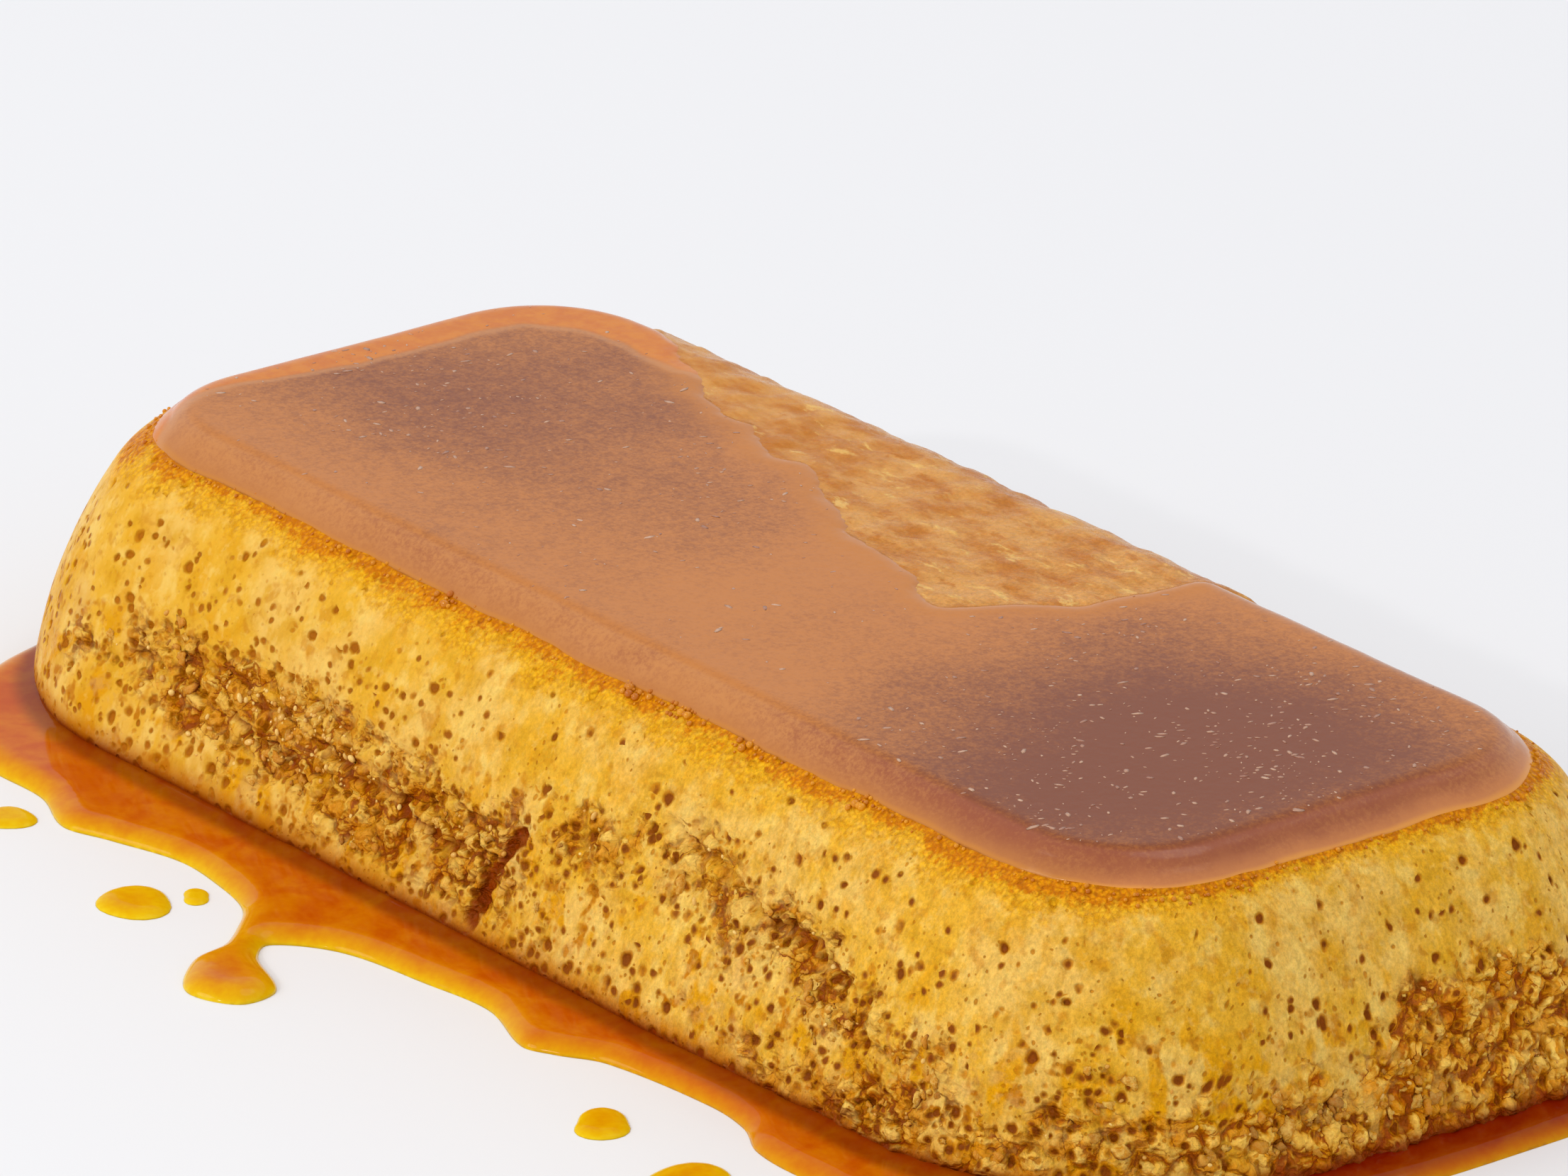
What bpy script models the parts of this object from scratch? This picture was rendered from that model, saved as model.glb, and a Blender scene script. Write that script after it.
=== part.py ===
"""A caramel pudding: one baked custard loaf, the caramel film on its top, and the sauce that ran
down and stands round its foot, with a few loose drops.

Metres, +Z up. The origin is the centre of the custard's flat base, which stands on z = 0.
+X runs along the loaf, and -Y is the long side with the open crack.
"""

import math

import bmesh
import bpy
from mathutils import Vector

MM = 0.001

# The loaf, as it stands after being turned out of its mould.
HALF_LENGTH = 88.0 * MM
HALF_WIDTH = 41.5 * MM
PUDDING_HEIGHT = 28.6 * MM
FOOT_CORNER_RADIUS = 31.3 * MM
TOP_CORNER_RADIUS = 13.9 * MM
FOOT_ROUNDING = 4.0 * MM
RIM_ROUNDING = 5.1 * MM
# How far a side leans in: LEAN * u + BOW * u * u, where u is the share of the height.
SIDE_LEAN = 6.1 * MM
SIDE_BOW = 7.4 * MM

# The caramel film on the top, which thins out where it bends over the rim.
GAP = 0.3 * MM
FILM_THICKNESS = 1.0 * MM
FILM_EDGE_THICKNESS = 0.35 * MM
FILM_EDGE_ANGLE = math.radians(30.0)
CUSTARD_HEIGHT = PUDDING_HEIGHT - FILM_THICKNESS - GAP

# The sauce on the surface.
SAUCE_DEPTH = 1.3 * MM
SAUCE_EDGE_ROUNDING = 0.9 * MM

# How finely the round forms are divided.
CORNER_STEPS = 9
LONG_SIDE_STEPS = 24
SHORT_SIDE_STEPS = 6
FOOT_LEVELS = 3
SIDE_LEVELS = 9
RIM_LEVELS = 5

# Worn and collapsed places of the sides: centre, sideways reach, upright reach, depth.
HOLLOWS = (
    ((-50.0, -39.5, 9.5), 8.0, 3.0, 0.9),
    ((-33.0, -38.5, 11.0), 9.0, 3.2, 1.1),
    ((-15.0, -39.0, 9.0), 8.0, 3.4, 1.0),
    ((24.0, -36.0, 17.0), 8.0, 2.6, 0.7),
    ((43.0, -37.5, 13.5), 9.0, 2.6, 0.8),
    ((64.0, -37.5, 5.5), 9.0, 3.0, 0.8),
    ((84.5, -12.0, 5.5), 9.0, 3.0, 0.8),
    ((85.0, 9.0, 8.0), 9.0, 3.5, 1.0),
    ((66.0, 36.5, 9.0), 10.0, 3.4, 0.9),
    ((20.0, 39.0, 8.5), 12.0, 3.0, 0.8),
    ((-30.0, 38.5, 10.5), 11.0, 3.4, 0.9),
    ((-84.5, 6.0, 9.5), 10.0, 3.4, 0.9),
)

# Splits in the sides: points on the skin, half the mouth's width, and depth.
SPLITS = {
    "open_crack": (
        ((4.4, 12.9), (3.2, 11.4), (1.9, 9.3), (0.2, 7.3), (0.6, 5.6), (-0.4, 3.6)),
        0.75,
        2.6,
    ),
    "upper_tear": (
        ((20.5, 18.3), (25.5, 16.9), (31.0, 16.2), (36.0, 14.6), (43.0, 14.1), (50.0, 12.4)),
        0.7,
        1.3,
    ),
    "lower_tear": (
        ((-27.0, 10.8), (-21.5, 9.6), (-16.0, 9.9), (-9.5, 7.9), (-4.0, 8.3)),
        0.8,
        1.4,
    ),
}

# The bare patch that the film leaves open at the far long edge.
BARE_PATCH = (
    (-60.0, 29.0), (-53.0, 25.0), (-44.0, 20.5), (-36.0, 16.8), (-31.0, 17.0), (-25.5, 14.4),
    (-20.0, 14.6), (-10.0, 9.4), (0.0, 5.9), (8.0, 4.8), (14.0, 2.4), (17.0, 7.0),
    (21.5, 12.5), (22.5, 19.0), (24.5, 28.0), (27.0, 46.0), (-64.0, 46.0),
)

# The outer edge of the sauce, counter-clockwise from the far left corner of the near side.
SAUCE_EDGE = (
    (-84.2, -28.4), (-82.4, -34.0), (-78.5, -41.5), (-71.0, -47.6), (-62.0, -49.8),
    (-53.5, -50.0), (-46.6, -52.5), (-41.5, -51.0), (-33.5, -48.8), (-27.0, -49.3),
    (-21.0, -50.9), (-17.6, -54.0), (-14.6, -58.0), (-13.4, -62.3), (-8.4, -66.4),
    (-3.3, -64.2), (-3.8, -59.8), (-10.8, -56.6), (-12.7, -54.0), (-7.4, -49.8),
    (2.9, -48.0), (11.2, -47.2), (19.4, -49.8), (22.6, -48.6), (27.0, -46.1),
    (39.8, -44.6), (45.6, -45.3), (50.2, -47.5), (56.4, -47.9), (67.0, -46.6),
    (78.0, -39.5), (86.5, -28.0), (90.2, -12.0), (90.9, 6.0), (89.8, 20.0),
    (83.0, 34.5), (71.0, 42.5), (55.0, 46.2), (39.0, 45.6), (23.0, 47.3),
    (6.0, 45.6), (-12.0, 44.8), (-30.0, 46.3), (-47.0, 45.0), (-64.0, 43.4),
    (-77.5, 36.5), (-86.8, 25.0), (-90.4, 9.0), (-89.6, -7.0), (-87.2, -19.5),
)

# Loose drops: centre, half-lengths of the oval, height, turn of the long axis.
DROPS = (
    ((-51.3, -55.3), (2.8, 2.6), 0.8, -40.0),
    ((-28.0, -57.9), (4.1, 3.5), 1.0, -40.0),
    ((-25.7, -52.6), (1.9, 1.2), 0.6, -40.0),
    ((37.4, -54.7), (3.4, 2.6), 0.9, -40.0),
    ((52.1, -56.6), (4.6, 4.3), 1.0, -40.0),
)

CUSTARD_COLOUR = (0.79, 0.52, 0.14, 1.0)
FILM_COLOUR = (0.34, 0.13, 0.05, 1.0)
SAUCE_COLOUR = (0.60, 0.21, 0.01, 1.0)


def clear_scene():
    for obj in list(bpy.data.objects):
        bpy.data.objects.remove(obj, do_unlink=True)


def new_collection(name):
    collection = bpy.data.collections.new(name)
    bpy.context.scene.collection.children.link(collection)
    return collection


def principled(name, colour, roughness):
    material = bpy.data.materials.new(name)
    material.use_nodes = True
    shader = material.node_tree.nodes["Principled BSDF"]
    shader.inputs["Base Color"].default_value = colour
    shader.inputs["Roughness"].default_value = roughness
    shader.inputs["Metallic"].default_value = 0.0
    return material


def add_object(name, mesh, collection, material=None):
    obj = bpy.data.objects.new(name, mesh)
    collection.objects.link(obj)
    if material:
        mesh.materials.append(material)
        mesh.shade_smooth()
        mesh.set_sharp_from_angle(angle=math.radians(40.0))
    return obj


def side_inset(z):
    """How far a side stands in from the foot's outline at a height."""
    u = z / PUDDING_HEIGHT
    return SIDE_LEAN * u + SIDE_BOW * u * u


def corner_radius(z, rounding_inset):
    """Corners are widest at the foot; a rounded edge follows inside the side's own corner."""
    u = z / PUDDING_HEIGHT
    radius = FOOT_CORNER_RADIUS * (1 - u) + TOP_CORNER_RADIUS * u
    return max(radius - rounding_inset, 3.0 * MM)


def outline(inset, radius):
    """A rounded rectangle, counter-clockwise, as (x, y, outward x, outward y)."""
    half_x = HALF_LENGTH - inset
    half_y = HALF_WIDTH - inset
    corners = (
        (half_x - radius, half_y - radius, 0, LONG_SIDE_STEPS),
        (radius - half_x, half_y - radius, 90, SHORT_SIDE_STEPS),
        (radius - half_x, radius - half_y, 180, LONG_SIDE_STEPS),
        (half_x - radius, radius - half_y, 270, SHORT_SIDE_STEPS),
    )
    points = []
    for index, (cx, cy, start, straight_steps) in enumerate(corners):
        for step in range(CORNER_STEPS + 1):
            angle = math.radians(start + 90.0 * step / CORNER_STEPS)
            out_x, out_y = math.cos(angle), math.sin(angle)
            points.append((cx + radius * out_x, cy + radius * out_y, out_x, out_y))
        x0, y0, out_x, out_y = points[-1]
        next_x, next_y, next_start, _ = corners[(index + 1) % 4]
        angle = math.radians(next_start)
        x1 = next_x + radius * math.cos(angle)
        y1 = next_y + radius * math.sin(angle)
        for step in range(1, straight_steps):
            share = step / straight_steps
            points.append((x0 + (x1 - x0) * share, y0 + (y1 - y0) * share, out_x, out_y))
    return points


def hollow_depth(x, y, z):
    """How far the worn places pull the skin in at a point."""
    depth = 0.0
    for centre, sideways, upright, deepest in HOLLOWS:
        cx, cy, cz = (value * MM for value in centre)
        across = math.hypot(x - cx, y - cy) / (sideways * MM)
        up = (z - cz) / (upright * MM)
        depth += deepest * MM * math.exp(-0.5 * (across * across + up * up))
    return depth


def custard_profile(grow=0.0):
    """(inset, z, rounding inset) up the outside, from the flat base to the flat top.

    With grow, the skin stands that much further out all round.
    """
    levels = []
    foot_radius = FOOT_ROUNDING + grow
    for step in range(FOOT_LEVELS + 1):
        angle = math.radians(90.0 * step / FOOT_LEVELS)
        rounding = FOOT_ROUNDING - foot_radius * math.sin(angle)
        z = FOOT_ROUNDING - foot_radius * math.cos(angle)
        levels.append((side_inset(z) + rounding, z, rounding))
    rim_start = CUSTARD_HEIGHT - RIM_ROUNDING
    for step in range(1, SIDE_LEVELS):
        z = FOOT_ROUNDING + (rim_start - FOOT_ROUNDING) * step / SIDE_LEVELS
        levels.append((side_inset(z) - grow, z, -grow))
    rim_radius = RIM_ROUNDING + grow
    for step in range(RIM_LEVELS + 1):
        angle = math.radians(90.0 * step / RIM_LEVELS)
        rounding = RIM_ROUNDING - rim_radius * math.cos(angle)
        z = rim_start + rim_radius * math.sin(angle)
        levels.append((side_inset(z) + rounding, z, rounding))
    return levels


def film_profile():
    """(inset, z, rounding inset) under the film out to its edge, then back over its top."""
    centre_z = CUSTARD_HEIGHT - RIM_ROUNDING
    under, over = [], []
    for step in range(RIM_LEVELS):
        share = step / (RIM_LEVELS - 1)
        angle = FILM_EDGE_ANGLE + (math.pi / 2 - FILM_EDGE_ANGLE) * share
        thickness = FILM_EDGE_THICKNESS + (FILM_THICKNESS - FILM_EDGE_THICKNESS) * share
        for side, radius in ((under, RIM_ROUNDING + GAP), (over, RIM_ROUNDING + GAP + thickness)):
            rounding = RIM_ROUNDING - radius * math.cos(angle)
            z = centre_z + radius * math.sin(angle)
            side.append((side_inset(min(z, CUSTARD_HEIGHT)) + rounding, z, rounding))
    return under[::-1] + over


def loft(name, levels, collection, material=None, with_hollows=False):
    """A closed solid through one rounded rectangle at each level."""
    bm = bmesh.new()
    rings = []
    for inset, z, rounding in levels:
        ring = []
        for x, y, out_x, out_y in outline(inset, corner_radius(min(z, PUDDING_HEIGHT), rounding)):
            depth = hollow_depth(x, y, z) if with_hollows else 0.0
            ring.append(bm.verts.new((x - out_x * depth, y - out_y * depth, z)))
        rings.append(ring)
    for lower, upper in zip(rings, rings[1:]):
        count = len(lower)
        for i in range(count):
            j = (i + 1) % count
            bm.faces.new((lower[i], lower[j], upper[j], upper[i]))
    bm.faces.new(rings[0][::-1])
    bm.faces.new(rings[-1])
    bmesh.ops.recalc_face_normals(bm, faces=bm.faces)
    mesh = bpy.data.meshes.new(name)
    bm.to_mesh(mesh)
    bm.free()
    return add_object(name, mesh, collection, material)


def cutter(obj):
    obj.hide_render = True
    obj.display_type = "WIRE"
    return obj


def subtract(obj, tool):
    modifier = obj.modifiers.new("cut " + tool.name, "BOOLEAN")
    modifier.operation = "DIFFERENCE"
    modifier.solver = "EXACT"
    modifier.object = tool


def skin_point(x, z):
    """The near long side's surface at a place along it and a height."""
    return Vector((x, side_inset(z) - HALF_WIDTH, z))


def split_cutter(name, path, half_mouth, depth, collection):
    """A blade along a path on the near side, diamond in section, that narrows to both ends."""
    places = [skin_point(x * MM, z * MM) for x, z in path]
    bm = bmesh.new()
    rings = []
    for index, place in enumerate(places):
        before = places[max(index - 1, 0)]
        after = places[min(index + 1, len(places) - 1)]
        along = (after - before).normalized()
        outward = Vector((0.0, -1.0, 0.0))
        across = along.cross(outward).normalized()
        at_end = index in (0, len(places) - 1)
        share = 0.35 if at_end else 1.0
        corners = (
            outward * (depth * MM),
            across * (half_mouth * MM * share),
            -outward * (depth * MM * share),
            -across * (half_mouth * MM * share),
        )
        rings.append([bm.verts.new(place + corner) for corner in corners])
    for lower, upper in zip(rings, rings[1:]):
        for i in range(4):
            j = (i + 1) % 4
            bm.faces.new((lower[i], lower[j], upper[j], upper[i]))
    bm.faces.new(rings[0][::-1])
    bm.faces.new(rings[-1])
    bmesh.ops.recalc_face_normals(bm, faces=bm.faces)
    mesh = bpy.data.meshes.new(name)
    bm.to_mesh(mesh)
    bm.free()
    return cutter(add_object(name, mesh, collection))


def smooth_plate(name, points, low, high, steps, collection, material=None):
    """A plate from z = low to high whose outline is a smooth closed curve through the points."""
    curve = bpy.data.curves.new(name + " outline", "CURVE")
    curve.dimensions = "2D"
    curve.fill_mode = "BOTH"
    curve.resolution_u = steps
    curve.extrude = (high - low) / 2
    spline = curve.splines.new("BEZIER")
    spline.bezier_points.add(len(points) - 1)
    spline.use_cyclic_u = True
    for knot, (x, y) in zip(spline.bezier_points, points):
        knot.co = (x * MM, y * MM, 0.0)
        knot.handle_left_type = "AUTO"
        knot.handle_right_type = "AUTO"
    guide = bpy.data.objects.new(name + " outline", curve)
    collection.objects.link(guide)
    graph = bpy.context.evaluated_depsgraph_get()
    mesh = bpy.data.meshes.new_from_object(guide.evaluated_get(graph))
    bpy.data.objects.remove(guide, do_unlink=True)
    bm = bmesh.new()
    bm.from_mesh(mesh)
    bmesh.ops.translate(bm, verts=bm.verts, vec=(0.0, 0.0, (low + high) / 2))
    bmesh.ops.remove_doubles(bm, verts=bm.verts, dist=0.01 * MM)
    bmesh.ops.recalc_face_normals(bm, faces=bm.faces)
    bm.to_mesh(mesh)
    bm.free()
    return add_object(name, mesh, collection, material)


def round_top_edge(obj, top, width):
    """A rounded edge along the outline of a plate's upper face alone."""
    mesh = obj.data
    weights = mesh.attributes.new("bevel_weight_edge", "FLOAT", "EDGE")
    bm = bmesh.new()
    bm.from_mesh(mesh)
    bm.edges.ensure_lookup_table()
    for edge in bm.edges:
        on_top = all(abs(vert.co.z - top) < 0.01 * MM for vert in edge.verts)
        is_rim = any(abs(face.normal.z) < 0.5 for face in edge.link_faces)
        weights.data[edge.index].value = 1.0 if on_top and is_rim else 0.0
    bm.free()
    bevel = obj.modifiers.new("rounded edge", "BEVEL")
    bevel.limit_method = "WEIGHT"
    bevel.width = width
    bevel.segments = 2


def make_custard(parts, cutters):
    material = principled("custard", CUSTARD_COLOUR, 0.45)
    custard = loft("custard", custard_profile(), parts, material, with_hollows=True)
    for name, (path, half_mouth, depth) in SPLITS.items():
        subtract(custard, split_cutter(name, path, half_mouth, depth, cutters))


def make_film(parts, cutters):
    material = principled("caramel", FILM_COLOUR, 0.12)
    film = loft("caramel_film", film_profile(), parts, material)
    low = CUSTARD_HEIGHT - 2 * RIM_ROUNDING
    high = PUDDING_HEIGHT + RIM_ROUNDING
    bare = smooth_plate("bare_patch", BARE_PATCH, low, high, 4, cutters)
    subtract(film, cutter(bare))


def make_sauce(parts, cutters):
    material = principled("sauce", SAUCE_COLOUR, 0.08)
    pool = smooth_plate("sauce_pool", SAUCE_EDGE, 0.0, SAUCE_DEPTH, 4, parts, material)
    round_top_edge(pool, SAUCE_DEPTH, SAUCE_EDGE_ROUNDING)
    foot = loft("foot_clearance", custard_profile(grow=GAP), cutters)
    subtract(pool, cutter(foot))


def make_drop(index, centre, half_lengths, height, turn, parts, material):
    """The part above the surface of a flattened ball, a little wider at one end."""
    bm = bmesh.new()
    bmesh.ops.create_uvsphere(bm, u_segments=20, v_segments=10, radius=1.0)
    plane = {"plane_co": (0.0, 0.0, 0.0), "plane_no": (0.0, 0.0, 1.0)}
    geometry = bm.verts[:] + bm.edges[:] + bm.faces[:]
    bmesh.ops.bisect_plane(bm, geom=geometry, clear_inner=True, **plane)
    bmesh.ops.holes_fill(bm, edges=[edge for edge in bm.edges if edge.is_boundary])
    for vert in bm.verts:
        vert.co.y *= 1.0 + 0.12 * vert.co.x
        vert.co.x *= half_lengths[0] * MM
        vert.co.y *= half_lengths[1] * MM
        vert.co.z *= height * MM
    bmesh.ops.recalc_face_normals(bm, faces=bm.faces)
    mesh = bpy.data.meshes.new(f"sauce_drop_{index}")
    bm.to_mesh(mesh)
    bm.free()
    drop = add_object(f"sauce_drop_{index}", mesh, parts, material)
    drop.location = (centre[0] * MM, centre[1] * MM, 0.0)
    drop.rotation_euler = (0.0, 0.0, math.radians(turn))


def make_drops(parts):
    material = principled("sauce drops", SAUCE_COLOUR, 0.08)
    for index, (centre, half_lengths, height, turn) in enumerate(DROPS, start=1):
        make_drop(index, centre, half_lengths, height, turn, parts, material)


def main():
    clear_scene()
    parts = new_collection("caramel pudding")
    cutters = new_collection("cutters")
    make_custard(parts, cutters)
    make_film(parts, cutters)
    make_sauce(parts, cutters)
    make_drops(parts)


main()
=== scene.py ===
"""The looks of the caramel pudding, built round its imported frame.

The custard is a fine skin over the loaf's own form, roughened where it collapsed and pitted with
pores. The caramel film, the sauce and the drops are liquids with real edges. Lengths here are in
millimetres until a mesh is made.
"""

import math
from types import SimpleNamespace

import bmesh
import bpy
import numpy as np
from mathutils import Matrix, Vector, geometry


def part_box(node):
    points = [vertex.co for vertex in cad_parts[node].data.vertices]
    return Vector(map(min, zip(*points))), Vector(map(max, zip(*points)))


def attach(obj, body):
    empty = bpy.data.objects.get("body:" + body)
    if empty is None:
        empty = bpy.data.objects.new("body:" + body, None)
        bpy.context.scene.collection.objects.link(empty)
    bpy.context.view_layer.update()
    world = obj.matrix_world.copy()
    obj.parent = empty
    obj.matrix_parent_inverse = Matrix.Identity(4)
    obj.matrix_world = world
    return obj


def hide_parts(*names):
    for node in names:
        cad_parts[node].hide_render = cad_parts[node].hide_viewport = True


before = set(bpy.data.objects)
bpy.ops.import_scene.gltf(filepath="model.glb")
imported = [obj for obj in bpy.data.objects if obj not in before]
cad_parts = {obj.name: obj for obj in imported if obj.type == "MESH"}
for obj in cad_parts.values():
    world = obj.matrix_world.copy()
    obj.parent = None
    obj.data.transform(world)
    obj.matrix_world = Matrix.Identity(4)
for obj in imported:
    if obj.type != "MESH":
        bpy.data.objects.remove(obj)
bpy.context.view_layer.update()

MM = 0.001

# ---------------------------------------------------------------- the loaf's form, as in the frame
FOOT_CORNER_RADIUS = 31.3
TOP_CORNER_RADIUS = 13.9
FOOT_ROUNDING = 4.0
RIM_ROUNDING = 5.1
SIDE_LEAN = 6.1
SIDE_BOW = 7.4
PUDDING_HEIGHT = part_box("caramel_film")[1].z / MM
CUSTARD_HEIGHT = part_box("custard")[1].z / MM


def side_inset(z):
    """How far a side stands in from the foot's outline at a height."""
    u = z / PUDDING_HEIGHT
    return SIDE_LEAN * u + SIDE_BOW * u * u


def corner_radius(z):
    u = z / PUDDING_HEIGHT
    return FOOT_CORNER_RADIUS * (1 - u) + TOP_CORNER_RADIUS * u


WIDEST_INSET = side_inset(FOOT_ROUNDING)
HALF_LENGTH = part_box("custard")[1].x / MM + WIDEST_INSET
HALF_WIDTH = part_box("custard")[1].y / MM + WIDEST_INSET

# Worn and collapsed places of the sides: centre, sideways reach, upright reach, depth.
HOLLOWS = (
    ((-50.0, -39.5, 9.5), 8.0, 3.0, 0.9),
    ((-33.0, -38.5, 11.0), 9.0, 3.2, 1.1),
    ((-15.0, -39.0, 9.0), 8.0, 3.4, 1.0),
    ((24.0, -36.0, 17.0), 8.0, 2.6, 0.7),
    ((43.0, -37.5, 13.5), 9.0, 2.6, 0.8),
    ((64.0, -37.5, 5.5), 9.0, 3.0, 0.8),
    ((84.5, -12.0, 5.5), 9.0, 3.0, 0.8),
    ((85.0, 9.0, 8.0), 9.0, 3.5, 1.0),
    ((66.0, 36.5, 9.0), 10.0, 3.4, 0.9),
    ((20.0, 39.0, 8.5), 12.0, 3.0, 0.8),
    ((-30.0, 38.5, 10.5), 11.0, 3.4, 0.9),
    ((-84.5, 6.0, 9.5), 10.0, 3.4, 0.9),
)

# Splits in the near side: points (x, z) on the skin, half the mouth's width, depth, ledge above.
SPLITS = (
    (((3.3, 11.6), (1.9, 9.3), (0.2, 7.3), (0.6, 5.6), (-0.4, 3.6)), 0.8, 0.85, 0.0),
    (((20.5, 18.3), (25.5, 16.9), (31.0, 16.2), (36.0, 14.6), (43.0, 14.1), (50.0, 12.4)),
     0.4, 0.6, 0.25),
    (((-27.0, 10.8), (-21.5, 9.6), (-16.0, 9.9), (-9.5, 7.9), (-4.0, 8.3)), 0.45, 0.7, 0.25),
    (((-41.0, 9.8), (-36.5, 8.6), (-31.5, 8.9), (-28.0, 7.4)), 0.4, 0.7, 0.25),
)

# Where the skin has broken up into crumb: centre, sideways reach, upright reach, strength.
CRUMB_ZONES = (
    ((-58.0, -38.5, 10.0), 8.0, 3.0, 0.75),
    ((-40.0, -38.5, 10.5), 10.0, 3.6, 1.1),
    ((-24.0, -39.0, 9.0), 9.0, 3.6, 1.1),
    ((-9.0, -39.0, 9.0), 9.0, 3.4, 0.95),
    ((1.5, -39.5, 8.0), 5.0, 3.6, 0.6),
    ((13.0, -37.0, 14.0), 7.0, 2.8, 0.6),
    ((27.0, -36.0, 16.0), 9.0, 3.0, 0.85),
    ((43.0, -37.0, 13.0), 9.0, 2.8, 0.85),
    ((56.0, -37.5, 10.5), 7.0, 2.2, 0.6),
    ((28.0, -40.0, 4.5), 16.0, 2.2, 0.3),
    ((60.0, -39.0, 4.0), 11.0, 2.6, 0.95),
    ((80.0, -26.0, 4.5), 11.0, 3.0, 0.95),
    ((86.5, -6.0, 5.0), 12.0, 3.6, 1.05),
    ((86.0, 14.0, 7.0), 11.0, 4.8, 1.0),
    ((84.5, 4.0, 12.5), 15.0, 2.4, 0.5),
    ((78.0, -32.0, 11.0), 4.0, 3.5, 0.5),
    ((80.0, 28.0, 7.0), 10.0, 3.4, 1.0),
    ((60.0, 38.0, 7.5), 14.0, 3.2, 0.9),
    ((18.0, 39.5, 7.0), 16.0, 3.2, 1.0),
    ((-28.0, 39.0, 9.5), 14.0, 3.4, 1.0),
    ((-66.0, 34.0, 7.0), 12.0, 3.2, 0.9),
    ((-86.0, 4.0, 7.5), 14.0, 3.4, 1.0),
)

# The bare patch that the film leaves open at the far long edge.
BARE_PATCH = (
    (-60.0, 29.0), (-53.0, 25.0), (-44.0, 20.5), (-36.0, 16.8), (-31.0, 17.0), (-25.5, 14.4),
    (-20.0, 14.6), (-10.0, 9.4), (0.0, 5.9), (8.0, 4.8), (14.0, 2.4), (17.0, 7.0),
    (21.5, 12.5), (22.5, 19.0), (24.5, 28.0), (27.0, 46.0), (-64.0, 46.0),
)

# The outer edge of the sauce, counter-clockwise from the far left corner of the near side.
SAUCE_EDGE = (
    (-84.2, -28.4), (-82.4, -34.0), (-78.5, -41.5), (-71.0, -47.6), (-62.0, -49.8),
    (-53.5, -50.0), (-46.6, -52.5), (-41.5, -51.0), (-33.5, -48.8), (-27.0, -49.3),
    (-21.0, -50.9), (-17.6, -54.0), (-14.6, -58.0), (-13.4, -62.3), (-8.4, -66.4),
    (-3.3, -64.2), (-3.8, -59.8), (-10.8, -56.6), (-12.7, -54.0), (-7.4, -49.8),
    (2.9, -48.0), (11.2, -47.2), (19.4, -49.8), (22.6, -48.6), (27.0, -46.1),
    (39.8, -44.6), (45.6, -45.3), (50.2, -47.5), (56.4, -47.9), (67.0, -46.6),
    (78.0, -39.5), (86.5, -28.0), (90.2, -12.0), (90.9, 6.0), (89.8, 20.0),
    (83.0, 34.5), (71.0, 42.5), (55.0, 46.2), (39.0, 45.6), (23.0, 47.3),
    (6.0, 45.6), (-12.0, 44.8), (-30.0, 46.3), (-47.0, 45.0), (-64.0, 43.4),
    (-77.5, 36.5), (-86.8, 25.0), (-90.4, 9.0), (-89.6, -7.0), (-87.2, -19.5),
)
SAUCE_EDGE_WIDTH = 2.4
SAUCE_CLIMB = 0.5
SAUCE_CLIMB_REACH = 0.8
SAUCE_TUCK = 1.6
SAUCE_SPACING = 0.65
NO_WALL = 50.0  # the distance to the loaf's wall that a loose drop is given
EDGE_STEP = 0.45
DROP_FLATNESS = 0.62
DROP_NODES = [f"sauce_drop_{i}" for i in range(1, 6)]

# The film: its thickness on the flat, and how far round the rim it reaches, by side.
FILM_THICKNESS = PUDDING_HEIGHT - CUSTARD_HEIGHT
FILM_EDGE_WIDTH = 3.4
FILM_EDGE_NEAR_SIDE = math.radians(46.0)
FILM_EDGE_ENDS = math.radians(43.0)
FILM_EDGE_FAR_SIDE = math.radians(46.0)
FILM_EDGE_WANDER = math.radians(4.0)
FILM_RIM_LEVELS = 20
FILM_SPACING = 0.72
FILM_SINK = 0.5
FILM_RIDGE = 0.02

# The deep, dark pools of the film: centre, half-lengths, strength.
FILM_POOLS = (
    ((-52.0, 4.0), (25.0, 23.0), 0.56),
    ((-15.0, 0.0), (10.0, 12.0), 0.25),
    ((46.0, -8.0), (19.0, 24.0), 0.6),
    ((62.0, -8.0), (18.0, 25.0), 0.8),
    ((50.0, 12.0), (26.0, 16.0), 0.3),
)

# How wide the film glows orange where it thins out: left end, right end, near side, far side.
GLOW_WIDTHS = (4.2, 1.4, 1.2, 2.8)

# How wide the orange band is that runs inside the film's edge, by side as above; below 0 is none.
BAND_WIDTHS = (8.6, -3.0, -3.0, 8.2)

# Where the band under the film's rim is widest, at the near left corner.
GOLDEN_PLACE = (-74.0, -27.0, 21.0)

# How far the custard swells up in the bare patch, to stand level with the film round it.
BARE_SWELL = 1.12
BARE_PATCH_LOW_X = -60.0
BARE_PATCH_HIGH_X = 30.0
BARE_PATCH_LOW_Y = 0.5
TOP_STEP = 0.5

# Small things: how many, and where along the near side the bubbles gather.
CRUMB_COUNT = 460
CRUMB_LOWEST = 3.4
SPECK_COUNT = 950
BUBBLE_COUNT = 260
BEAD_COUNT = 260
BUBBLE_CLUSTERS = (8.9, 14.9, 25.1, -20.0, 41.0)

# ---------------------------------------------------------------- camera, from the pudding's frame
CAMERA_AZIMUTH = math.radians(51.07)
CAMERA_ELEVATION = math.radians(21.59)
CAMERA_ROLL = math.radians(0.756)
CAMERA_DISTANCE = 1364.8
CAMERA_TARGET = (-53.5, 38.5, 0.0)
CAMERA_LENS = 324.0
SENSOR_WIDTH = 36.0


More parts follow.
